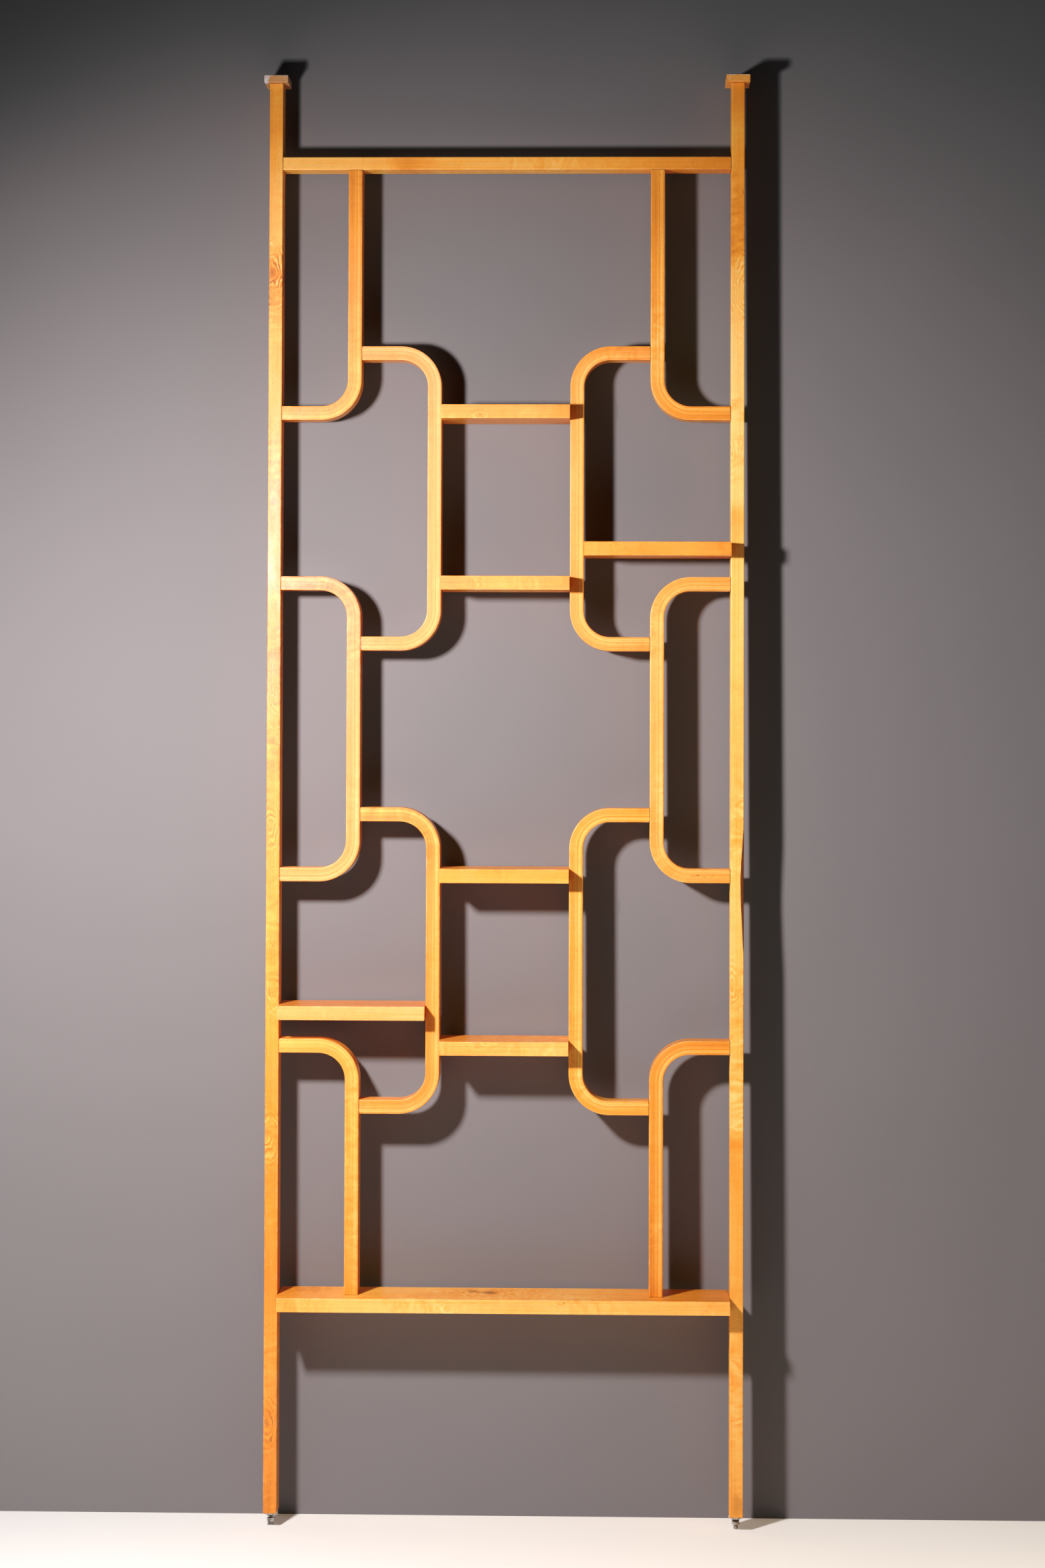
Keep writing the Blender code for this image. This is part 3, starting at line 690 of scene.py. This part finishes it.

# How much darker a shelf's top is drawn than its front, from place to place along it. On the bottom
# shelf the darkening that grows towards its right end is the painted shadow of the right bottom bend.
DARKER_TOPS = {
    "bottom_shelf": [(-0.4, 0.12), (0.12, 0.12), (0.18, 0.28), (0.24, 0.36), (0.30, 0.48), (0.4, 0.44)],
    "lower_left_shelf": [(-0.4, 0.22), (-0.1, 0.22)],
    "third_centre_shelf": [(-0.12, 0.15), (0.12, 0.15)],
    "fourth_centre_shelf": [(-0.12, 0.15), (0.12, 0.15)],
}

# Pieces drawn with another red, green and blue than the rest, as shares of it. On the bars and shelves a
# raised blue is a painted sheen: the whitening that the lamp's reflection gives the lacquer.
TINTS_AND_SHEEN = {
    "left_upper_loop": (1, 1, 1.65), "left_middle_loop": (1, 1, 1.75), "left_lower_loop": (1, 1, 1.15),
    "right_upper_loop": (1, 1, 1.18), "right_middle_loop": (1, 1, 1.15), "right_lower_loop": (1, 1, 0.95),
    "right_post": (1, 1, 0.95), "lower_left_shelf": (1, 1, 1.60), "first_centre_shelf": (1, 1, 1.25),
    "second_centre_shelf": (1, 1, 1.30), "third_centre_shelf": (1, 1, 0.95),
    "fourth_centre_shelf": (1, 1, 1.15), "left_ceiling_cap": (0.76, 1, 3.0),
    "right_ceiling_cap": (1, 1, 1.4),
}

# Bent bars whose glue lines show more or less than the rest.
LINED = {"right_bottom_bend": 1.45, "right_top_bend": 1.25, "right_lower_loop": 1.1, "left_bottom_bend": 0.7,
         "left_upper_loop": 0.8}

# Boards with specks of white paint.
SPECKLED = ("left_post", "top_rail")

# Ceiling plaster and paint left on a piece: where along, across and deep, and how far it spreads.
PLASTER = {
    "left_ceiling_cap": [(-0.0325, -0.021, 0.0040, 0.0130), (-0.0325, 0.021, 0.0070, 0.0040)],
    "right_ceiling_cap": [(-0.0325, -0.016, 0.0050, 0.0035), (0.0200, 0.012, 0.0065, 0.0060)],
}

# Each bent bar's tone from its first end to its last, in shares of its length.
BARS = {
    "left_top_bend": [(0.0, 0.44), (0.3, 0.45), (0.65, 0.57), (1.0, 0.42)],
    "left_upper_loop": [(0.0, 0.54), (0.4, 0.59), (0.7, 0.52), (1.0, 0.44)],
    "left_middle_loop": [(0.0, 0.28), (0.35, 0.43), (0.6, 0.52), (1.0, 0.51)],
    "left_lower_loop": [(0.0, 0.50), (0.6, 0.49), (0.8, 0.50), (1.0, 0.58)],
    "left_bottom_bend": [(0.0, 0.60), (0.5, 0.54), (1.0, 0.54)],
    "right_top_bend": [(0.0, 0.52), (0.15, 0.45), (0.3, 0.63), (0.6, 0.77), (0.85, 0.48), (1.0, 0.40)],
    "right_upper_loop": [(0.0, 0.35), (0.3, 0.62), (0.55, 0.53), (1.0, 0.47)],
    "right_middle_loop": [(0.0, 0.61), (0.3, 0.72), (0.5, 0.58), (0.7, 0.63), (1.0, 0.57)],
    "right_lower_loop": [(0.0, 0.58), (0.3, 0.50), (0.45, 0.61), (0.6, 0.63), (1.0, 0.53)],
    "right_bottom_bend": [(0.0, 0.50), (0.35, 0.57), (0.5, 0.66), (0.75, 0.53), (1.0, 0.31)],
}

# The lacquer's shine, and how rough its smears and its worn edges are.
LACQUER = {"Specular IOR Level": 0.40, "Coat Weight": 0.22, "Coat Roughness": 0.26}
SMEAR_PACE, SMEAR_ROUGHNESS, WORN_ROUGHNESS = (18, 60, 60), (0.3, 0.7, 0.38, 0.52), 0.12
DARK_STREAKS = (0.52, 0.74)
SPECK_PACE, SPECK_EDGES = (210, 900, 900), (0.755, 0.775)
SHIFT_SHARES = (1, 0.37, 0.61)          # of a board's shift, along, across and deep
BAND_PACE, BAND_WANDER = (14, 48, 30), 0.035
FIRST_BAR_SHIFT, BAR_SHIFT, BAR_FIGURE = 30, 1.7, 0.5
CAP_REACH = 1                           # past a cap's ends, which are in no joint

# Plaster's crumbs, and the ragged line of it along the top.
CRUMB_PACE, CRUMB_EDGES, CRUMB_COVER = (420, 420, 420), (0.37, 0.50), (0.35, 0.95)
PLASTER_PACE, PLASTER_RAGGED, PLASTER_LINE = (130, 130, 130), 0.003, 0.0014
PLASTER_EDGES = (0.1, 0.6)

# Wood without lacquer: figure, dark and pale colour, roughness and relief.
WANE = (0.8, ((0.20, 0.060, 0.014, 1), (0.42, 0.150, 0.030, 1)), (0.55, 0.80), 0.0004)
BIRCH = (0.2, ((0.50, 0.30, 0.14, 1), (0.72, 0.50, 0.27, 1)), (0.68, 0.85), 0.0001)

# The feet's zinc, and where each foot's steel is stained, and with what.
ZINC, ZINC_DEPTH = ((0.40, 0.39, 0.37, 1), (0.74, 0.72, 0.68, 1)), 0.00008
ZINC_ROUGHNESS, ZINC_METAL = (0.3, 0.7, 0.32, 0.48), (0.85, 0.25)
STAINS = {"left": ((0.49, 0.635), (0.10, 0.075, 0.055, 1)),
          "right": ((0.39, 0.585), (0.32, 0.180, 0.090, 1))}
STAIN_COVER, STAIN_ROUGHNESS = 0.85, 0.25
BLOTCH_PACE, STAIN_PACE = (190, 190, 190), (140, 140, 230)

# The collars' paint: where it starts above the floor, and where it is chipped off the dark steel.
PAINT_HEIGHTS, PAINT_RAGGED = (0.0196, 0.0202), 0.0016
CHIP_PACE, CHIP_EDGES = (260, 260, 260), (0.34, 0.41)
FINE_PACE, FINE_RISE, PAINT_DEPTH = (900, 900, 900), 0.4, 0.00018
COLLAR_ROUGHNESS, COLLAR_METAL = (0.2, 0.8, 0.45, 0.70), (0.7, 0.0)
# Dark steel, in the chips and on the unpainted neck, where it is painted shade under the rim.
DARK_STEEL_AND_SHADE = ((0.05, 0.045, 0.040, 1), (0.16, 0.145, 0.130, 1))
WHITE_PAINT = ((0.70, 0.69, 0.69, 1), (0.90, 0.89, 0.88, 1))


def new_material(name):
    """An empty material, its tree and its shader."""
    made = bpy.data.materials.new(name)
    made.use_nodes = True
    tree = made.node_tree
    return made, tree, tree.nodes["Principled BSDF"]


def relief(tree, shader, height, depth):
    """Bump from a height, as deep as given in metres."""
    bump = put(tree, "Bump", {"Height": height, "Strength": 1.0, "Distance": depth})
    plug(tree, shader.inputs, {"Normal": bump.outputs[0]})


def board_size(name):
    """Half of a board's width and depth across its grain, and where it starts and ends along it."""
    low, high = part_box(name)
    size = (high - low) / 2
    axes = UPRIGHT if name.endswith("post") else CROSSWAYS if name.endswith("cap") else LEVEL
    start, end = low[axes[0]], high[axes[0]]
    if name.endswith("cap"):
        start, end = -CAP_REACH, CAP_REACH
    return size[axes[1]], size[axes[2]], start, end


def plastered(tree, place, spots, half):
    """Where ceiling plaster sticks: in crumbs round each spot, and along the top."""
    crumbs = step(tree, cloud(tree, place, CRUMB_PACE, detail=3), *CRUMB_EDGES)
    ragged = times(tree, cloud(tree, place, PLASTER_PACE, detail=3), PLASTER_RAGGED)
    found = step(tree, plus(tree, axis(tree, place, "Z"), ragged), half, half + PLASTER_LINE)
    for *centre, size in spots:
        near = grouped(tree, KNOT, Place=place, Centre=centre, Size=size, Spread=size)["Heart"]
        found = sums(tree, "MAXIMUM", found, step(tree, near, *PLASTER_EDGES))
    return times(tree, found, step(tree, crumbs, 0, 1, *CRUMB_COVER))


def banded(tree, place, bands):
    """The tone along a board, with wavy borders between its bands."""
    first, last = bands[0][0], bands[-1][0]
    wander = centred(tree, cloud(tree, place, BAND_PACE), BAND_WANDER)
    along = sums(tree, "SUBTRACT", plus(tree, axis(tree, place, "X"), wander), first)
    stops = [((at - first) / (last - first), (tone, tone, tone, 1)) for at, tone in bands]
    return ramp(tree, sums(tree, "DIVIDE", along, last - first), stops)


def knotted(tree, place, tone, knots):
    """The tone with the rings of its knots, and their hearts as layers."""
    hearts = []
    for *centre, heart, spread, ringed, dark in knots:
        knot = grouped(tree, KNOT, Place=place, Centre=centre, Size=heart, Spread=spread)
        tone = plus(tree, tone, times(tree, knot["Rings"], ringed))
        if dark:
            hearts.append((knot["Heart"], dark, KNOT_BROWN))
    return tone, hearts


def lacquered(name, shift, figure, bands, size, knots, veneers):
    """Honey lacquer over grain, with worn edges whose pale is partly a painted glint, and, as strong as
    given, a bent bar's veneers.
    """
    made, tree, shader = new_material(name)
    board = name.split("_lacquered")[0]
    across, deep, start, end = size
    place = grain_place(tree)
    shifts = [shift * share for share in SHIFT_SHARES]
    moved = put(tree, "Mapping", {"Vector": place, "Location": shifts}).outputs[0]
    grain = grouped(tree, GRAIN, Place=moved, Figure=figure)
    tone = plus(tree, banded(tree, place, bands), grain["Tone"])
    # A shelf's top drawn darker than its front; towards the bottom shelf's right end this is the painted
    # shadow of the right bottom bend.
    if board in DARKER_TOPS:
        upper = step(tree, axis(tree, place, "Y"), across - ARRIS, across - TINY)
        tone = sums(tree, "SUBTRACT", tone, times(tree, upper, banded(tree, place, DARKER_TOPS[board])))
    tone, layers = knotted(tree, place, tone, knots)
    layers += [(step(tree, grain["Streaks"], *DARK_STREAKS), STREAK_COVER, FLECK_BROWN),
               (grain["Flecks"], FLECK_COVER, FLECK_BROWN)]
    if veneers:
        plies = grouped(tree, PLIES, Place=place)
        tone = plus(tree, tone, centred(tree, plies["Veneer"], VENEER_TONE * veneers))
        layers.append((plies["Lines"], GLUE_COVER * veneers, GLUE_BROWN))
    worn = grouped(tree, WEAR, Place=place, Half_Across=across, Half_Deep=deep, Reach=WEAR_REACH)["Worn"]
    grime = grouped(tree, ENDS, Place=place, Start=start, End=end)["Grime"]
    # The worn edges' pale: partly real wear, partly a painted glint along the arrises.
    layers += [(worn, WORN_COVER, WORN_PALE_AND_GLINT), (grime, GRIME_COVER, GRIME_BROWN)]
    if board in SPECKLED:
        specks = step(tree, cloud(tree, moved, SPECK_PACE, detail=1), *SPECK_EDGES)
        layers.append((specks, SPECK_COVER, SPECK_WHITE))
    if board in PLASTER:
        layers.append((plastered(tree, place, PLASTER[board], deep), 1.0, PLASTER_WHITE))
    colour = ramp(tree, plus(tree, tone, 0, clamp=True), WOOD_TONES)
    # Painted sheen: a raised blue whitens a piece as the lamp's reflection in its lacquer would.
    if board in TINTS_AND_SHEEN:
        colour = tint(tree, 1.0, colour, (*TINTS_AND_SHEEN[board], 1), "MULTIPLY")
    smears = step(tree, cloud(tree, moved, SMEAR_PACE, detail=3), *SMEAR_ROUGHNESS)
    rough = plus(tree, smears, times(tree, worn, WORN_ROUGHNESS))
    plug(tree, shader.inputs, {"Base Color": covered(tree, colour, layers), "Roughness": rough, **LACQUER})
    relief(tree, shader, grain["Relief"], GRAIN_DEPTH)
    return made


def solid_wood(name):
    """Lacquered solid wood for one board."""
    shift, figure, bands = BOARDS[name]
    return lacquered(f"{name}_lacquered_wood", shift, figure, bands, board_size(name), KNOTS.get(name, []), 0)


def laminated_wood(name, length):
    """Lacquered veneers for one bent bar."""
    low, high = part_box(name)
    shift = FIRST_BAR_SHIFT + BAR_SHIFT * sorted(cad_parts).index(name)
    bands = [(share * length, tone) for share, tone in BARS[name]]
    marks = [(along % length, *mark) for along, *mark in KNOTS.get(name, [])]
    size = (LAMINATE / 2, (high.y - low.y) / 2, 0, length)
    return lacquered(f"{name}_lacquered_veneers", shift, BAR_FIGURE, bands, size, marks, LINED.get(name, 1.0))


def unlacquered(name, find_place, figure, shades, roughness, depth):
    """Wood that was never lacquered."""
    made, tree, shader = new_material(name)
    grain = grouped(tree, GRAIN, Place=find_place(tree), Figure=figure)
    tone = plus(tree, grain["Tone"], 0.5, clamp=True)
    plug(tree, shader.inputs, {"Base Color": tint(tree, tone, *shades),
                               "Roughness": step(tree, grain["Streaks"], 0.2, 0.8, *roughness)})
    relief(tree, shader, grain["Relief"], depth)
    return made


def worn_steel(side):
    """Old zinc-coated steel, stained in patches."""
    made, tree, shader = new_material(f"{side}_worn_zinc_steel")
    place = own_place(tree)
    edges, stain = STAINS[side]
    blotches = cloud(tree, place, BLOTCH_PACE, detail=4)
    stains = step(tree, cloud(tree, place, STAIN_PACE, detail=3, distortion=0.6), *edges)
    colour = covered(tree, tint(tree, blotches, *ZINC), [(stains, STAIN_COVER, stain)])
    rough = plus(tree, step(tree, blotches, *ZINC_ROUGHNESS), times(tree, stains, STAIN_ROUGHNESS))
    plug(tree, shader.inputs, {"Base Color": colour, "Roughness": rough,
                               "Metallic": step(tree, stains, 0, 1, *ZINC_METAL)})
    relief(tree, shader, blotches, ZINC_DEPTH)
    return made


def painted_steel():
    """White floor paint, chipped, over steel that has gone dark. The neck under the rim is left unpainted and
    dark: painted shade.
    """
    made, tree, shader = new_material("painted_collar_steel")
    place = own_place(tree)
    ragged = cloud(tree, place, CHIP_PACE, detail=4)
    edge = plus(tree, axis(tree, place, "Z"), centred(tree, ragged, PAINT_RAGGED))
    # Paint above the neck; below it the neck keeps the dark steel, a painted shade under the rim.
    paint = times(tree, step(tree, edge, *PAINT_HEIGHTS), step(tree, ragged, *CHIP_EDGES))
    fine = cloud(tree, place, FINE_PACE, detail=3)
    colour = tint(tree, paint, tint(tree, fine, *DARK_STEEL_AND_SHADE), tint(tree, fine, *WHITE_PAINT))
    plug(tree, shader.inputs, {"Base Color": colour, "Roughness": step(tree, fine, *COLLAR_ROUGHNESS),
                               "Metallic": step(tree, paint, 0, 1, *COLLAR_METAL)})
    relief(tree, shader, plus(tree, paint, times(tree, fine, FINE_RISE)), PAINT_DEPTH)
    return made


STEELS = {side: worn_steel(side) for side in SIDES}
COLLAR_STEEL = painted_steel()


def finish_kept_nodes():
    """Materials for the CAD nodes that stay: dowels and nuts."""
    raw = unlacquered("bare_birch", own_place, *BIRCH)
    for name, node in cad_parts.items():
        finish = raw if "dowel" in name else STEELS[name.split("_")[0]] if name.endswith("nut") else None
        if finish:
            node.data.materials.clear()
            node.data.materials.append(finish)


# The studio

CAMERA_PLACE = Vector((0.1777, -5.6531, 1.4483))
CAMERA_PITCH, CAMERA_YAW, CAMERA_ROLL = math.radians(1.364), math.radians(-1.493), math.radians(-0.179)
CAMERA_LENS = 72.23
CAMERA_SHIFT = -0.0912

WALL_FOOT = 0.0768
WALL_LEAN = 0.00813
WALL_HALF = 4.0
WALL_TOP = 4.2
FLOOR_FRONT = -4.6

KEY_PLACE = Vector((-0.84, -1.493, 1.84))
KEY_AIM = Vector((0.17, 0.08, 0.19))
KEY_CONE = math.radians(176)
KEY_RADIUS = 0.085
KEY_POWER = 260
SOFT_SIZE = 2.0
WORLD_SEEN = (0.075, 0.070, 0.072, 1)
WORLD_GLOW = (0.003, 0.005, 0.007, 1)
FILL_PLACE = Vector((1.2, -3.6, 1.3))
FILL_COLOUR = (1.0, 0.55, 0.15)
FILL_POWER = 11
BACK_PLACE = Vector((0.9, 3.4, 1.6))
BACK_POWER = 20
ROOM_MIDDLE = Vector((0, 0, 1.3))
GLOW_PLACE = Vector((1.3, -0.9, 1.2))
GLOW_AIM = Vector((0.7, -0.1, 0))
GLOW_COLOUR = (1.0, 0.87, 0.68)
GLOW_POWER = 13
GLOW_SIZE = 1.0

# The shades of the floor and the wall.
FLOOR_SHADES = ((0.82, 0.785, 0.765, 1), (0.855, 0.820, 0.80, 1))
WALL_SHADES = ((0.185, 0.163, 0.166, 1), (0.20, 0.176, 0.179, 1))

# The camera's response: how far it holds all shadows back, and their red once more.
ALL_CURVE, RED_CURVE = 3, 0
TOE = [(0.009, 0.0060), (0.019, 0.0140), (0.030, 0.0212), (0.050, 0.0350), (0.070, 0.0540),
       (0.100, 0.0900), (0.140, 0.1400)]
RED_TOE = [(0.016, 0.0140), (0.030, 0.0285), (0.045, 0.0402), (0.068, 0.0592), (0.090, 0.0820),
           (0.120, 0.1150), (0.160, 0.1600)]


def set_up_camera():
    """The photograph's viewpoint."""
    data = bpy.data.cameras.new("camera")
    data.sensor_width = 36
    data.lens = CAMERA_LENS
    data.shift_y = CAMERA_SHIFT
    camera = bpy.data.objects.new("camera", data)
    forward = Vector((math.cos(CAMERA_PITCH) * math.sin(CAMERA_YAW),
                      math.cos(CAMERA_PITCH) * math.cos(CAMERA_YAW), math.sin(CAMERA_PITCH)))
    level = Vector((math.cos(CAMERA_YAW), -math.sin(CAMERA_YAW), 0))
    upward = level.cross(forward)
    turn, lean = math.cos(CAMERA_ROLL), math.sin(CAMERA_ROLL)
    right, up = level * turn - upward * lean, level * lean + upward * turn
    turned = Matrix((right, up, -forward)).transposed()
    camera.matrix_world = Matrix.Translation(CAMERA_PLACE) @ turned.to_4x4()
    bpy.context.scene.collection.objects.link(camera)
    bpy.context.scene.camera = camera


def plane(name, near, far):
    """A flat sheet of the studio between two level edges, not part of the object."""
    bm = bmesh.new()
    corners = ((-WALL_HALF, near), (WALL_HALF, near), (WALL_HALF, far), (-WALL_HALF, far))
    bm.faces.new([bm.verts.new((x, *edge)) for x, edge in corners])
    mesh = bpy.data.meshes.new(name)
    bm.to_mesh(mesh)
    bm.free()
    made = bpy.data.objects.new(name, mesh)
    bpy.context.scene.collection.objects.link(made)
    return made


def matt(name, pace, detail, shades, roughness):
    """A matt material that drifts between two shades, with its tree and its shader."""
    made, tree, shader = new_material(name)
    drift = cloud(tree, own_place(tree), (pace, pace, pace), detail)
    plug(tree, shader.inputs, {"Base Color": tint(tree, drift, *shades), "Roughness": roughness})
    return made, tree, shader


def set_up_stage():
    """A pale floor, and a grey wall that is clear from behind."""
    floor = plane("studio_floor", (FLOOR_FRONT, 0), (WALL_FOOT, 0))
    floor.data.materials.append(matt("pale_floor", 5, 3, FLOOR_SHADES, 0.8)[0])
    wall = plane("studio_backdrop", (WALL_FOOT, 0), (WALL_FOOT - WALL_LEAN * WALL_TOP, WALL_TOP))
    wall.visible_shadow = False
    made, tree, shader = matt("grey_wall", 3, 2, WALL_SHADES, 0.9)
    clear = put(tree, "BsdfTransparent").outputs[0]
    behind = put(tree, "NewGeometry").outputs["Backfacing"]
    mixed = put(tree, "MixShader", {0: behind, 1: shader.outputs[0], 2: clear})
    plug(tree, tree.nodes["Material Output"].inputs, {"Surface": mixed.outputs[0]})
    wall.data.materials.append(made)
    return floor, wall


def aim(light, place, target):
    """Puts a light in its place and turns it to its target."""
    turned = (target - place).to_track_quat("-Z", "Y").to_matrix().to_4x4()
    light.matrix_world = Matrix.Translation(place) @ turned


def spare(lamp, *unlit):
    """Keeps a light off parts of the studio."""
    spared = bpy.data.collections.new(f"not_lit_by_{lamp.name}")
    for thing in unlit:
        spared.objects.link(thing)
    lamp.light_linking.receiver_collection = spared
    for held in spared.collection_objects:
        held.light_linking.link_state = "EXCLUDE"


def add_area_light(name, power, size, place, target):
    """A soft light that no view sees."""
    light = bpy.data.lights.new(name, "AREA")
    light.energy = power
    light.size = size
    lamp = bpy.data.objects.new(name, light)
    lamp.visible_glossy = False
    lamp.visible_camera = False
    bpy.context.scene.collection.objects.link(lamp)
    aim(lamp, place, target)
    return lamp


def set_up_lights(floor, wall):
    """One soft key light at the left, and weak lights for the front, the back and the floor."""
    key = bpy.data.lights.new("key", "SPOT")
    key.energy = KEY_POWER
    key.spot_size = KEY_CONE
    key.spot_blend = 1.0
    key.shadow_soft_size = KEY_RADIUS
    lamp = bpy.data.objects.new("key", key)
    bpy.context.scene.collection.objects.link(lamp)
    aim(lamp, KEY_PLACE, KEY_AIM)
    spare(add_area_light("back", BACK_POWER, SOFT_SIZE, BACK_PLACE, ROOM_MIDDLE), floor)
    fill = add_area_light("fill", FILL_POWER, SOFT_SIZE, FILL_PLACE, ROOM_MIDDLE)
    fill.data.color = FILL_COLOUR
    spare(fill, floor, wall)
    glow = add_area_light("floor_glow", GLOW_POWER, GLOW_SIZE, GLOW_PLACE, GLOW_AIM)
    glow.data.color = GLOW_COLOUR
    glow.data.use_shadow = False
    glow.light_linking.receiver_collection = bpy.data.collections.new("floor_alone")
    glow.light_linking.receiver_collection.objects.link(floor)


def set_up_room():
    """A faint glow in the room, and a grey that only the camera sees."""
    world = bpy.data.worlds.new("room")
    world.use_nodes = True
    tree = world.node_tree
    seen = put(tree, "LightPath").outputs["Is Camera Ray"]
    plug(tree, tree.nodes["Background"].inputs, {"Color": tint(tree, seen, WORLD_GLOW, WORLD_SEEN)})
    bpy.context.scene.world = world


def set_up_response():
    """The camera's plain picture with its shadows held back."""
    shown = bpy.context.scene.view_settings
    shown.view_transform = "Standard"
    shown.use_curve_mapping = True
    shown.curve_mapping.extend = "EXTRAPOLATED"
    shown.curve_mapping.use_clip = False
    for channel, bends in ((ALL_CURVE, TOE), (RED_CURVE, RED_TOE)):
        curve = shown.curve_mapping.curves[channel]
        for place, level in bends:
            curve.points.new(place, level)
        for point in curve.points:
            point.handle_type = "VECTOR"
    shown.curve_mapping.update()


for side in SIDES:
    make_post(side)
    make_cap(side)
    make_bent_bars(side)
    make_collar(side)
    make_stud(side)
make_level_boards()
finish_kept_nodes()
set_up_camera()
set_up_lights(*set_up_stage())
set_up_room()
set_up_response()
